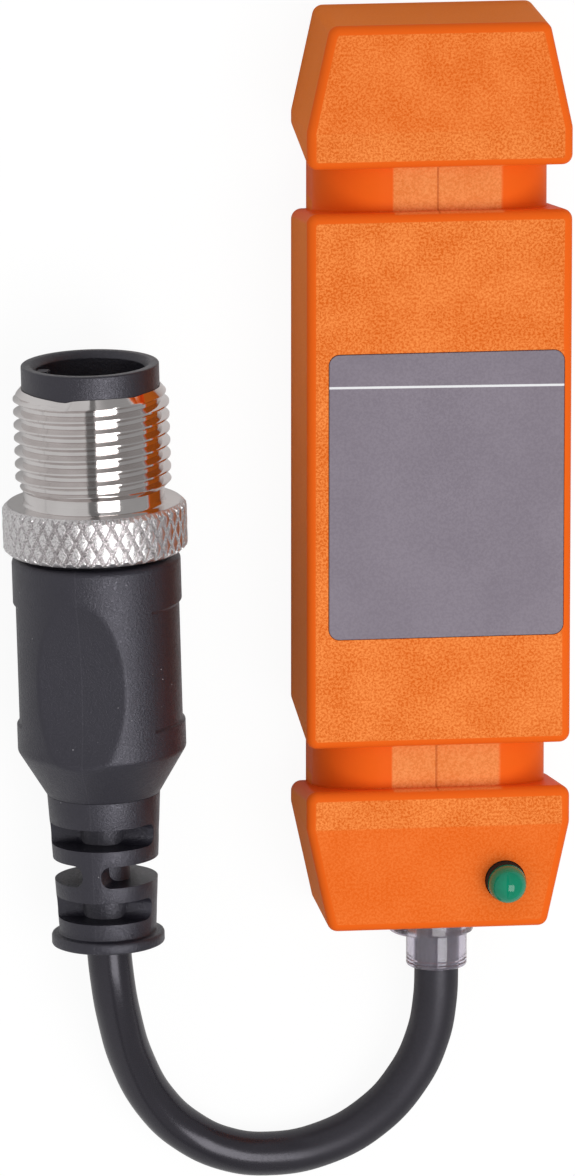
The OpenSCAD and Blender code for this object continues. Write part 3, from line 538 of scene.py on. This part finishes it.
def grip_levels():
    """Outline of the round grip from the cone's foot to the shoulder, as (radius, height)."""
    outline = [(RELIEF_RADIUS, RELIEF_TOP + 0.02 * MM), (RELIEF_RADIUS + 0.06 * MM, RELIEF_TOP + 0.1 * MM)]
    steps = 14
    for k in range(1, steps):
        t = k / steps
        outline.append((RELIEF_RADIUS + (GRIP_RADIUS - RELIEF_RADIUS) * t,
                        RELIEF_TOP + (GRIP_FOOT - RELIEF_TOP) * t))
    outline.append((GRIP_RADIUS - 0.03 * MM, GRIP_FOOT - 0.03 * MM))
    outline.append((GRIP_RADIUS, GRIP_FOOT + 0.12 * MM))
    level = GRIP_FOOT + 0.3 * MM
    top = GRIP_TOP - SHOULDER
    while level < top:
        near = min(abs(level - PANEL_FOOT), abs(level - PANEL_TOP)) < 0.26 * MM
        outline.append((GRIP_RADIUS, level))
        level += (0.04 if near else 0.13) * MM
    for k in range(13):
        a = math.radians(7.5 * k)
        outline.append((GRIP_RADIUS - SHOULDER + SHOULDER * math.cos(a), top + SHOULDER * math.sin(a)))
    return outline


hidden = [(CARRIER_BED_RADIUS, GRIP_TOP), (CARRIER_BED_RADIUS, CARRIER_FOOT), (JACKET_BORE, CARRIER_FOOT),
          (JACKET_BORE, RELIEF_TOP + 0.02 * MM)]
angles = [2 * math.pi * i / GRIP_SEGMENTS for i in range(GRIP_SEGMENTS)]
loops = []
for base, level in grip_levels():
    loops.append([plug_place @ Vector((r * math.cos(a), r * math.sin(a), level))
                  for a in angles for r in (grip_radius(base, a, level),)])
for base, level in hidden:
    loops.append([plug_place @ Vector((base * math.cos(a), base * math.sin(a), level)) for a in angles])
grip_mesh = lofted("grip_body", loops, closed=True)

# The bend relief is turned, and each slot is cut by two rounded bars that leave a bridge between them
# and spare the sleeve round the cable.
profile = [(r * MM, z * MM) for r, z in (
    (1.75, 0.0), (4.18, 0.0), (4.26, 0.04), (4.3, 0.12), (4.3, 0.7), (4.24, 0.82), (4.12, 0.88),
    (3.86, 0.9), (3.74, 0.93), (3.69, 1.02))]
profile += [(RELIEF_RADIUS, RELIEF_TOP), (JACKET_BORE, RELIEF_TOP)]
relief = new_piece("bend_relief", turned("bend_relief", profile, Matrix.Identity(4), 128, closed=True))


def slot_bar(foot, side, turn):
    """A bar with rounded inner edges, which cuts one half of a slot beside its bridge."""
    r = SLOT_ROUNDING
    top = foot + SLOT_HEIGHT
    section = [(SLOT_REACH, foot), (SLOT_REACH, top)]
    section += [(BRIDGE_HALF + r - r * math.sin(a), top - r + r * math.cos(a)) for a in QUARTER_TURN]
    section += [(BRIDGE_HALF + r - r * math.cos(a), foot + r - r * math.sin(a)) for a in QUARTER_TURN]
    spin = Matrix.Rotation(turn, 4, "Z")
    loops = [[spin @ Vector((reach, side * across, level)) for across, level in section]
             for reach in (-SLOT_REACH, SLOT_REACH)]
    return lofted("slot_bar", loops)


def cut(piece, tool):
    cutter = piece.modifiers.new("cut", "BOOLEAN")
    cutter.operation = "DIFFERENCE"
    cutter.solver = "EXACT"
    cutter.object = tool


profile = [(0.01 * MM, -MM), (SLEEVE_RADIUS, -MM), (SLEEVE_RADIUS, RELIEF_TOP), (0.01 * MM, RELIEF_TOP)]
sleeve = new_piece("relief_sleeve", turned("relief_sleeve", profile, Matrix.Identity(4)))
bars = [sleeve]
for index in range(3):
    foot = SLOT_FOOT + SLOT_STEP * index
    turn = SLOT_TURN + (math.pi / 2 if index % 2 == 0 else 0)
    for side in (1, -1):
        bar = new_piece(f"slot_bar_{index}_{side}", slot_bar(foot, side, turn))
        cut(bar, sleeve)
        settled(bar)
        cut(relief, bar)
        bars.append(bar)
settled(relief)
for bar in bars:
    bpy.data.objects.remove(bar)
soft_edges = relief.modifiers.new("soft edges", "BEVEL")
soft_edges.width = 0.09 * MM
soft_edges.segments = 3
soft_edges.limit_method = "ANGLE"
soft_edges.angle_limit = math.radians(50)
settled(relief)
relief.data.transform(plug_place)

bm = bmesh.new()
bm.from_mesh(relief.data)
bm.from_mesh(grip_mesh)
bmesh.ops.remove_doubles(bm, verts=bm.verts, dist=0.0005 * MM)
bm.to_mesh(grip_mesh)
bm.free()
bpy.data.objects.remove(relief)
grip = new_piece("plug_grip_skin", grip_mesh)
shade_smooth(grip.data, 38)
even_shading(grip)


def plug_axes(tree):
    """The plug's own coordinates, with its axis along y, as one vector and as three numbers."""
    centred = tree.nodes.new("ShaderNodeMapping")
    centred.vector_type = "TEXTURE"
    feed(centred, {"Vector": coordinates(tree), "Location": PLUG_END, "Rotation": (0, 0, PLUG_TILT)})
    spot = centred.outputs["Vector"]
    return (spot, *axes(tree, spot))


def soft_black(name, colour, scale, depth, with_mould_line):
    """Soft black plastic with a fine grain, scattered dust and, on the grip, the line of its mould."""
    material, tree, skin = finish(name, colour, 0.34, tone=0.14, scale=scale, depth=depth,
                                  blotch_scale=420.0)
    spot, across, _, up = plug_axes(tree)
    specks = tree.nodes.new("ShaderNodeTexVoronoi")
    feed(specks, {"Vector": spot, "Scale": 1150.0})
    keep = number(tree, "GREATER_THAN", axes(tree, specks.outputs["Color"])[0], 0.78)
    dust = number(tree, "MULTIPLY", ramp(tree, specks.outputs["Distance"], 0.03, 0.08, 1.0, 0.0), keep)
    ground = skin.inputs["Base Color"].links[0].from_socket
    colour = mixed(tree, number(tree, "MULTIPLY", dust, 0.6), ground, DUST_GREY)
    if with_mould_line:
        turn = math.radians(DISH_TURN)
        side = number(tree, "MULTIPLY", up, math.sin(turn))
        side = number(tree, "MULTIPLY_ADD", across, math.cos(turn), side)
        line = ramp(tree, number(tree, "ABSOLUTE", side), 0.02 * MM, 0.07 * MM, 1.0, 0.0)
        colour = mixed(tree, number(tree, "MULTIPLY", line, 0.10), colour, MOULD_LINE_GREY)
        under = skin.inputs["Normal"].links[0].from_socket
        feed(skin, {"Normal": bumped(tree, line, 0.004 * MM, under)})
    feed(skin, {"Base Color": colour, "Specular IOR Level": 0.85, "Specular Tint": (0.90, 0.88, 1.0, 1.0)})
    return material


grip.data.materials.append(soft_black("grip_black", GRIP_BLACK, 4800.0, 0.015, True))
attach(grip, "sensor")
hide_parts("plug_grip")

# Contacts: a black carrier moulded round four gold-plated pins, with a key so that the socket mates
# one way only. Its collar stands above the ring and its skirt runs down behind the ring's thin lip.
CARRIER_BLACK = (0.0125, 0.0112, 0.0160)
RIM, RIM_ROUNDING, SKIRT_FOOT = 45.05 * MM, 0.14 * MM, 42.8 * MM
COLLAR_RADIUS, BARREL_RADIUS, SOCKET_RADIUS = 5.225 * MM, 4.85 * MM, 4.12 * MM
SOCKET_FLOOR = RIM - 8.6 * MM
KEY_THICKNESS, KEY_WIDTH, KEY_HEIGHT = 1.0 * MM, 1.2 * MM, RIM - 0.62 * MM - SOCKET_FLOOR
KEY_TURN, KEY_RADIUS, KEY_EDGE = math.radians(162), SOCKET_RADIUS - 0.45 * MM, 0.08 * MM
profile = [(BARREL_RADIUS, CARRIER_FOOT), (BARREL_RADIUS, SKIRT_FOOT)]
profile += [(COLLAR_RADIUS - 0.05 * MM, SKIRT_FOOT), (COLLAR_RADIUS, SKIRT_FOOT + 0.05 * MM)]
profile += [(COLLAR_RADIUS - RIM_ROUNDING + RIM_ROUNDING * math.cos(a),
             RIM - RIM_ROUNDING + RIM_ROUNDING * math.sin(a)) for a in QUARTER_TURN]
profile += [(4.62 * MM, RIM), (4.56 * MM, RIM - 0.03 * MM), (SOCKET_RADIUS + 0.03 * MM, RIM - 0.42 * MM),
            (SOCKET_RADIUS, RIM - 0.52 * MM), (SOCKET_RADIUS, SOCKET_FLOOR), (0.01 * MM, SOCKET_FLOOR),
            (0.01 * MM, CARRIER_FOOT)]
carrier_mesh = turned("carrier_body", profile, plug_place, 128, closed=True)
key = bmesh.new()
bmesh.ops.create_cube(key, size=1.0)
bmesh.ops.scale(key, vec=(KEY_THICKNESS, KEY_WIDTH, KEY_HEIGHT), verts=key.verts)
bmesh.ops.bevel(key, geom=list(key.edges), offset=KEY_EDGE, segments=2, affect="EDGES")
key_place = plug_place @ Matrix.Rotation(KEY_TURN, 4, "Z")
key_place = key_place @ Matrix.Translation((KEY_RADIUS, 0, SOCKET_FLOOR + KEY_HEIGHT / 2))
bmesh.ops.transform(key, matrix=key_place, verts=key.verts)
key.from_mesh(carrier_mesh)
key.to_mesh(carrier_mesh)
key.free()
carrier = new_piece("contact_carrier_skin", carrier_mesh)
shade_smooth(carrier.data, 35)
even_shading(carrier)
carrier.data.materials.append(soft_black("carrier_black", CARRIER_BLACK, 5000.0, 0.012, False))
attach(carrier, "sensor")
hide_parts("contact_carrier")

# Solder side of the plug: gold-plated pins, three wires and the block that seals them in.
# They lie inside the grip, where only the pins' tips look into the open socket.
dress({f"contact_pin_{n}": (f"gold_pin_{n}", (0.83, 0.62, 0.25), 0.22, 1.0, 6000.0) for n in range(1, 5)})
dress({
    "plug_premould": ("sealing_block", (0.8, 0.8, 0.78), 0.5, 0.0, 2500.0),
    "plug_core_brown": ("plug_brown_insulation", (0.16, 0.06, 0.03), 0.4, 0.0, 2500.0),
    "plug_core_blue": ("plug_blue_insulation", (0.03, 0.13, 0.50), 0.4, 0.0, 2500.0),
    "plug_core_black": ("plug_black_insulation", (0.02, 0.02, 0.02), 0.4, 0.0, 2500.0),
})

# Coupling ring: turned from brass bar and nickel-plated, with an M12 thread of 1 mm pitch, an
# undercut and a flange with a rolled diamond knurl. It turns freely on the carrier's barrel.
RING_FOOT, FLANGE_TOP, THREAD_FOOT, RING_TOP = 30.7 * MM, 34.4 * MM, 35.5 * MM, 43.3 * MM
RING_BORE, NECK_RADIUS = 4.92 * MM, 5.36 * MM
FLANGE_RADIUS, FLANGE_EDGE_RADIUS, CHAMFER_SLOPE = 7.0 * MM, 6.60 * MM, 1.2
LIP_BORE, LIP_RADIUS, LIP_FLOOR, WORN_HEIGHT = 5.25 * MM, 5.31 * MM, 42.68 * MM, 0.8 * MM
LIP_WEAR = ((-62, 0.0), (-56, 0.03), (-45, 0.07), (-34, 0.13), (-25, 0.21), (-19.6, 0.22), (-14, 0.09),
            (-8, 0.03), (0, 0.0), (20, 0.0), (32, 0.06), (39, 0.10), (45, 0.05), (50, 0.0))
WEAR_FACES = math.radians(-97.1)
THREAD_ROWS_PER_TURN, CREST_HALF, FLANK_SLOPE = 16.0, 1 / 16, math.tan(math.radians(60))
CONE_SLOPE, FILLING_SLOPE, KNURL_FLANK, KNURL_CROWN = 0.85, 4.0, 2.6, 0.16
TURNED_LOW, TURNED_HIGH = (0.70, 0.665, 0.655), (0.83, 0.795, 0.785)
KNURLED_LOW, KNURLED_HIGH = (0.56, 0.535, 0.540), (0.90, 0.875, 0.880)
RING_SEGMENTS = 480


def ring_tree():
    """Adds a knurled sheet and a helical thread sheet to the turned body that comes in."""
    tree = bpy.data.node_groups.new("threaded_ring", "GeometryNodeTree")
    sizes = {
        "Around": RING_SEGMENTS, "Thread Rows": 140, "Knurl Rows": 22, "Crest Radius": 5.9 * MM,
        "Root Radius": NECK_RADIUS, "Pitch": 1.0 * MM, "Thread Foot": THREAD_FOOT, "Thread Top": RING_TOP,
        "Flange Radius": FLANGE_RADIUS, "Flange Foot": RING_FOOT, "Flange Top": FLANGE_TOP,
        "Knurl Depth": 0.31 * MM, "Ridges": 40.0, "Rows per Ridge": 12.0, "Chamfer": 0.40 * MM,
        "Lip Radius": LIP_RADIUS, "Filled Length": 0.45 * MM,
    }
    tree.interface.new_socket("Geometry", in_out="INPUT", socket_type="NodeSocketGeometry")
    for label, value in sizes.items():
        kind = "NodeSocketInt" if isinstance(value, int) else "NodeSocketFloat"
        tree.interface.new_socket(label, in_out="INPUT", socket_type=kind).default_value = value
    tree.interface.new_socket("Plating", in_out="INPUT", socket_type="NodeSocketMaterial")
    tree.interface.new_socket("Geometry", in_out="OUTPUT", socket_type="NodeSocketGeometry")
    given = tree.nodes.new("NodeGroupInput").outputs

    def calc(operation, *values):
        return number(tree, operation, *values)

    def sheet(rows):
        """A grid from 0 to 1 across and along; returns its mesh and both fractions."""
        grid = tree.nodes.new("GeometryNodeMeshGrid")
        feed(grid, {"Size X": 1.0, "Size Y": 1.0, "Vertices X": calc("ADD", given["Around"], 1),
                    "Vertices Y": calc("ADD", rows, 1)})
        spot = tree.nodes.new("GeometryNodeInputPosition")
        x, y, _ = axes(tree, spot.outputs[0])
        return grid.outputs["Mesh"], calc("ADD", x, 0.5), calc("ADD", y, 0.5)

    def wrapped(mesh, turn, radius, level):
        """Lays the sheet round the axis."""
        angle = calc("MULTIPLY", turn, 2 * math.pi)
        place = tree.nodes.new("ShaderNodeCombineXYZ")
        feed(place, {"X": calc("MULTIPLY", radius, calc("COSINE", angle)),
                     "Y": calc("MULTIPLY", radius, calc("SINE", angle)), "Z": level})
        move = tree.nodes.new("GeometryNodeSetPosition")
        feed(move, {"Geometry": mesh, "Position": place.outputs["Vector"]})
        return move.outputs["Geometry"]

    def wave(value):
        """0 at whole numbers and 1 half way between them."""
        off_peak = calc("ABSOLUTE", calc("MULTIPLY_ADD", calc("FRACT", value), 2.0, -1.0))
        return calc("SUBTRACT", 1.0, off_peak)

    # Thread: the rows climb with the helix and are then held between the thread's two ends.
    mesh, turn, share = sheet(given["Thread Rows"])
    climb = calc("MULTIPLY", turn, given["Pitch"])
    lowest = calc("SUBTRACT", given["Thread Foot"], given["Pitch"])
    row_span = calc("MULTIPLY", calc("DIVIDE", given["Thread Rows"], THREAD_ROWS_PER_TURN), given["Pitch"])
    level = calc("ADD", climb, calc("MULTIPLY_ADD", share, row_span, lowest))
    level = calc("MAXIMUM", given["Thread Foot"], calc("MINIMUM", given["Thread Top"], level))
    phase = calc("DIVIDE", calc("SUBTRACT", level, climb), given["Pitch"])
    part = calc("FRACT", calc("ADD", phase, 0.5))
    from_crest = calc("ABSOLUTE", calc("SUBTRACT", part, 0.5))
    fall = calc("MULTIPLY", calc("SUBTRACT", from_crest, CREST_HALF), given["Pitch"])
    fall = calc("MULTIPLY", calc("MAXIMUM", fall, 0.0), FLANK_SLOPE)
    radius = calc("MAXIMUM", given["Root Radius"], calc("SUBTRACT", given["Crest Radius"], fall))
    inward = calc("SUBTRACT", level, given["Thread Foot"])
    radius = calc("MINIMUM", radius, calc("ADD", given["Root Radius"], inward))

    # Start of the thread: a cone rises from the lip to the first crest, and its grooves are filled.
    below = calc("SUBTRACT", given["Thread Top"], level)
    cone = calc("MULTIPLY_ADD", below, CONE_SLOPE, given["Lip Radius"])
    open_part = calc("MAXIMUM", calc("SUBTRACT", below, given["Filled Length"]), 0.0)
    filling = calc("SUBTRACT", cone, calc("MULTIPLY", open_part, FILLING_SLOPE))
    radius = calc("MAXIMUM", radius, filling)
    radius = calc("MINIMUM", calc("MINIMUM", radius, cone), given["Crest Radius"])
    thread = wrapped(mesh, turn, radius, level)

    # Knurl: two sets of grooves cross, and the higher ground between them stands up in diamonds.
    # The flat sheet is split along the groove that is deeper there, so each groove's bed runs straight.
    mesh, turn, share = sheet(given["Knurl Rows"])
    round_phase = calc("MULTIPLY", turn, given["Ridges"])
    long_phase = calc("DIVIDE", calc("MULTIPLY", share, given["Knurl Rows"]), given["Rows per Ridge"])
    rising = wave(calc("ADD", round_phase, long_phase))
    falling = wave(calc("SUBTRACT", round_phase, long_phase))
    for method, lower, higher in (("FIXED", falling, rising), ("FIXED_ALTERNATE", rising, falling)):
        split = tree.nodes.new("GeometryNodeTriangulate")
        split.quad_method = method
        feed(split, {"Mesh": mesh, "Selection": calc("LESS_THAN", lower, higher)})
        mesh = split.outputs["Mesh"]
    ground = calc("MINIMUM", rising, falling)
    crown = calc("MULTIPLY_ADD", ground, KNURL_CROWN, 1.0 - KNURL_CROWN)
    relief = calc("MINIMUM", calc("MULTIPLY", ground, KNURL_FLANK), crown)
    depth = calc("MULTIPLY", calc("SUBTRACT", 1.0, relief), given["Knurl Depth"])
    length = calc("SUBTRACT", given["Flange Top"], given["Flange Foot"])
    level = calc("MULTIPLY_ADD", share, length, given["Flange Foot"])
    radius = calc("SUBTRACT", given["Flange Radius"], depth)
    edge_radius = calc("SUBTRACT", given["Flange Radius"], given["Chamfer"])
    for end, way in ((given["Flange Top"], -1.0), (given["Flange Foot"], 1.0)):
        inward = calc("MULTIPLY", calc("SUBTRACT", level, end), way)
        radius = calc("MINIMUM", radius, calc("MULTIPLY_ADD", inward, CHAMFER_SLOPE, edge_radius))
    knurl = wrapped(mesh, turn, radius, level)

    join = tree.nodes.new("GeometryNodeJoinGeometry")
    for part in (given["Geometry"], thread, knurl):
        feed(join, {"Geometry": part})
    weld = tree.nodes.new("GeometryNodeMergeByDistance")
    feed(weld, {"Geometry": join.outputs["Geometry"], "Distance": 0.003 * MM})
    realize = tree.nodes.new("GeometryNodeRealizeInstances")
    feed(realize, {"Geometry": weld.outputs["Geometry"]})
    coat = tree.nodes.new("GeometryNodeSetMaterial")
    feed(coat, {"Geometry": realize.outputs["Geometry"], "Material": given["Plating"]})
    feed(tree.nodes.new("NodeGroupOutput"), {"Geometry": coat.outputs["Geometry"]})
    return tree


def nickel_plating():
    """Bright nickel over turned brass: lathe lines on the thread, and a crushed grain on the knurl."""
    material, tree, skin = new_material("nickel_plating")
    spot, across, along, up = plug_axes(tree)
    reach = number(tree, "ADD", number(tree, "POWER", across, 2.0), number(tree, "POWER", up, 2.0))
    reach = number(tree, "SQRT", reach)
    rolled = ramp(tree, reach, 6.35 * MM, 6.6 * MM)
    lathe = tree.nodes.new("ShaderNodeTexNoise")
    lathe.noise_dimensions = "1D"
    feed(lathe, {"W": along, "Scale": 9000.0, "Detail": 3.0})
    height, tone, blotches = grained(tree, 8200.0, 380.0, spot)
    mottle = number(tree, "MULTIPLY", blotches, 0.5)
    mottle = number(tree, "MULTIPLY_ADD", lathe.outputs["Fac"], 0.5, mottle)
    plain = mixed(tree, mottle, TURNED_LOW, TURNED_HIGH)
    crushed = mixed(tree, tone, KNURLED_LOW, KNURLED_HIGH)
    rough = number(tree, "MULTIPLY_ADD", rolled, 0.14, ramp(tree, mottle, 0.0, 1.0, 0.12, 0.06))
    turned_lines = number(tree, "MULTIPLY", lathe.outputs["Fac"], number(tree, "SUBTRACT", 1.0, rolled))
    relief = number(tree, "MULTIPLY", height, number(tree, "MULTIPLY_ADD", rolled, 7.0, 0.25))
    relief = number(tree, "ADD", relief, turned_lines)
    feed(skin, {"Base Color": mixed(tree, rolled, plain, crushed), "Metallic": 1.0, "Roughness": rough,
                "Normal": bumped(tree, relief, 0.0012 * MM)})
    return material


profile = [(FLANGE_EDGE_RADIUS, RING_FOOT), (5.2 * MM, RING_FOOT), (RING_BORE, RING_FOOT + 0.15 * MM),
           (RING_BORE, LIP_FLOOR), (LIP_BORE, LIP_FLOOR), (LIP_BORE, RING_TOP), (LIP_RADIUS, RING_TOP)]
body = turned("nickel_ring", profile, Matrix.Identity(4), RING_SEGMENTS)
profile = [(FLANGE_EDGE_RADIUS, FLANGE_TOP), (5.62 * MM, FLANGE_TOP), (5.45 * MM, FLANGE_TOP + 0.04 * MM),
           (NECK_RADIUS + 0.02 * MM, FLANGE_TOP + 0.16 * MM), (NECK_RADIUS, FLANGE_TOP + 0.32 * MM),
           (NECK_RADIUS, THREAD_FOOT)]
neck = turned("ring_neck", profile, Matrix.Identity(4), RING_SEGMENTS)
bm = bmesh.new()
bm.from_mesh(body)
bm.from_mesh(neck)
bmesh.ops.delete(bm, geom=[f for f in bm.faces if len(f.verts) > 4], context="FACES")
bm.to_mesh(body)
bm.free()
ring = new_piece("nickel_ring", body)
plating = nickel_plating()
works = ring.modifiers.new("thread and knurl", "NODES")
works.node_group = ring_tree()
for item in works.node_group.interface.items_tree:
    if item.in_out == "INPUT" and item.name == "Plating":
        works[item.identifier] = plating
settled(ring)
bm = bmesh.new()
bm.from_mesh(ring.data)
bmesh.ops.dissolve_degenerate(bm, edges=bm.edges, dist=0.0008 * MM)
bmesh.ops.recalc_face_normals(bm, faces=bm.faces)
bm.to_mesh(ring.data)
bm.free()
for vertex in ring.data.vertices:
    turn = math.remainder(math.atan2(vertex.co.y, vertex.co.x) - WEAR_FACES, 2 * math.pi)
    degrees = math.degrees(turn)
    share = max(0.0, (vertex.co.z - RING_TOP + WORN_HEIGHT) / WORN_HEIGHT)
    for (low, first), (high, second) in zip(LIP_WEAR, LIP_WEAR[1:]):
        if low <= degrees < high:
            wear = first + (second - first) * (degrees - low) / (high - low)
            vertex.co.z -= wear * MM * share
ring.data.transform(plug_place)
shade_smooth(ring.data, 24)
even_shading(ring)
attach(ring, "coupling_ring")
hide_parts("coupling_ring")

# Table: a plain pale sheet under the object, which keeps the object's soft shadow. It glows almost
# white for the camera and through clear plastic, and only a little of that shows in reflections.
CLEAR_SHARE, GLOSS_SHARE, TABLE_GLOW = 0.87, 0.15, 1.07
bm = bmesh.new()
bmesh.ops.create_grid(bm, x_segments=1, y_segments=1, size=2.0)
sheet = bpy.data.meshes.new("white_table")
bm.to_mesh(sheet)
bm.free()
table = new_piece("white_table", sheet)
paper, tree, skin = new_material("white_paper")
feed(skin, {"Base Color": (0.60, 0.60, 0.60, 1), "Roughness": 0.8})
rays = tree.nodes.new("ShaderNodeLightPath").outputs
clear_view = number(tree, "MAXIMUM", rays["Is Camera Ray"], rays["Is Transmission Ray"])
share = number(tree, "MULTIPLY", clear_view, CLEAR_SHARE)
share = number(tree, "MULTIPLY_ADD", rays["Is Glossy Ray"], GLOSS_SHARE, share)
glow = tree.nodes.new("ShaderNodeEmission")
feed(glow, {"Strength": TABLE_GLOW})
blend = tree.nodes.new("ShaderNodeMixShader")
for place, source in enumerate((share, skin.outputs[0], glow.outputs[0])):
    tree.links.new(source, blend.inputs[place])
feed(tree.nodes["Material Output"], {"Surface": blend.outputs[0]})
table.data.materials.append(paper)

# Light: a nearly square softbox to the right of the camera and even light from all round. Gloss sees
# a dark gap between the softbox and the pale wall on the left, as it does in a small studio.
SOFTBOX_PLACE, SOFTBOX_AIM = Vector((0.125, -0.120, 0.466)), Vector((-0.020, -0.010, 0.0))
SOFTBOX_WIDTH, SOFTBOX_LENGTH, SOFTBOX_POWER = 0.305, 0.34, 1.27
GAP_MIDDLE, GAP_HALF, GAP_END = math.radians(-6.4), math.radians(8.2), math.radians(9.6)
WALL_LEFT, WALL_RIGHT = math.radians(-12), math.radians(38)
GAP_SHARE, LEFT_LIGHT, RIGHT_LIGHT, LOW_LIGHT, HIGH_LIGHT = 0.28, 0.62, 0.33, 0.46, 0.67


def level_stance(place, back):
    """Where a light or camera stands: its z axis is the way back, its x axis square to the scene's y."""
    side = Vector((0, 1, 0)).cross(back).normalized()
    return Matrix.Translation(place) @ Matrix((side, back.cross(side), back)).transposed().to_4x4()


softbox = bpy.data.lights.new("softbox", "AREA")
softbox.shape = "RECTANGLE"
softbox.size, softbox.size_y = SOFTBOX_WIDTH, SOFTBOX_LENGTH
softbox.energy = SOFTBOX_POWER
softbox_object = new_piece("softbox", softbox)
softbox_object.matrix_world = level_stance(SOFTBOX_PLACE, (SOFTBOX_PLACE - SOFTBOX_AIM).normalized())
softbox_object.visible_camera = False

world = bpy.data.worlds.new("studio")
bpy.context.scene.world = world
world.use_nodes = True
tree = world.node_tree
back = tree.nodes["Background"]
across, along, up = axes(tree, coordinates(tree, "Generated"))
turn = number(tree, "ARCTAN2", across, up)
gap = number(tree, "ABSOLUTE", number(tree, "SUBTRACT", turn, GAP_MIDDLE))
gloss = ramp(tree, gap, GAP_HALF, GAP_END, GAP_SHARE, 1.0)
walls = ramp(tree, turn, WALL_LEFT, WALL_RIGHT, LEFT_LIGHT, RIGHT_LIGHT)
gloss = number(tree, "MULTIPLY", gloss, walls)
rays = tree.nodes.new("ShaderNodeLightPath").outputs
even = ramp(tree, along, -1.0, 1.0, LOW_LIGHT, HIGH_LIGHT)
strength = number(tree, "MULTIPLY_ADD", rays["Is Glossy Ray"], number(tree, "SUBTRACT", gloss, even), even)
clear_view = number(tree, "MAXIMUM", rays["Is Camera Ray"], rays["Is Transmission Ray"])
strength = number(tree, "MULTIPLY_ADD", clear_view, number(tree, "SUBTRACT", 1.0, strength), strength)
feed(back, {"Strength": strength, "Color": (1, 1, 1, 1)})

# Camera: a long lens, which looks down on the front from a little to the left and a little beyond
# the head's plain end. Its place and its lens are fitted to the object's edges.
CAMERA_AIM = Vector((-10.993, -9.048, 5.0)) * MM
CAMERA_AZIMUTH, CAMERA_ELEVATION = math.radians(7.145), math.radians(12.839)
CAMERA_DISTANCE, CAMERA_LENS = 0.88503, 356.3
back_way = Vector((-math.sin(CAMERA_AZIMUTH) * math.cos(CAMERA_ELEVATION), math.sin(CAMERA_ELEVATION),
                   math.cos(CAMERA_AZIMUTH) * math.cos(CAMERA_ELEVATION)))
lens_data = bpy.data.cameras.new("camera")
lens_data.sensor_fit = "AUTO"
lens_data.sensor_width = 36.0
lens_data.lens = CAMERA_LENS
lens_data.clip_start, lens_data.clip_end = 0.05, 20.0
camera = new_piece("camera", lens_data)
camera.matrix_world = level_stance(CAMERA_AIM + back_way * CAMERA_DISTANCE, back_way)
bpy.context.scene.camera = camera
bpy.context.scene.view_settings.view_transform = "Standard"
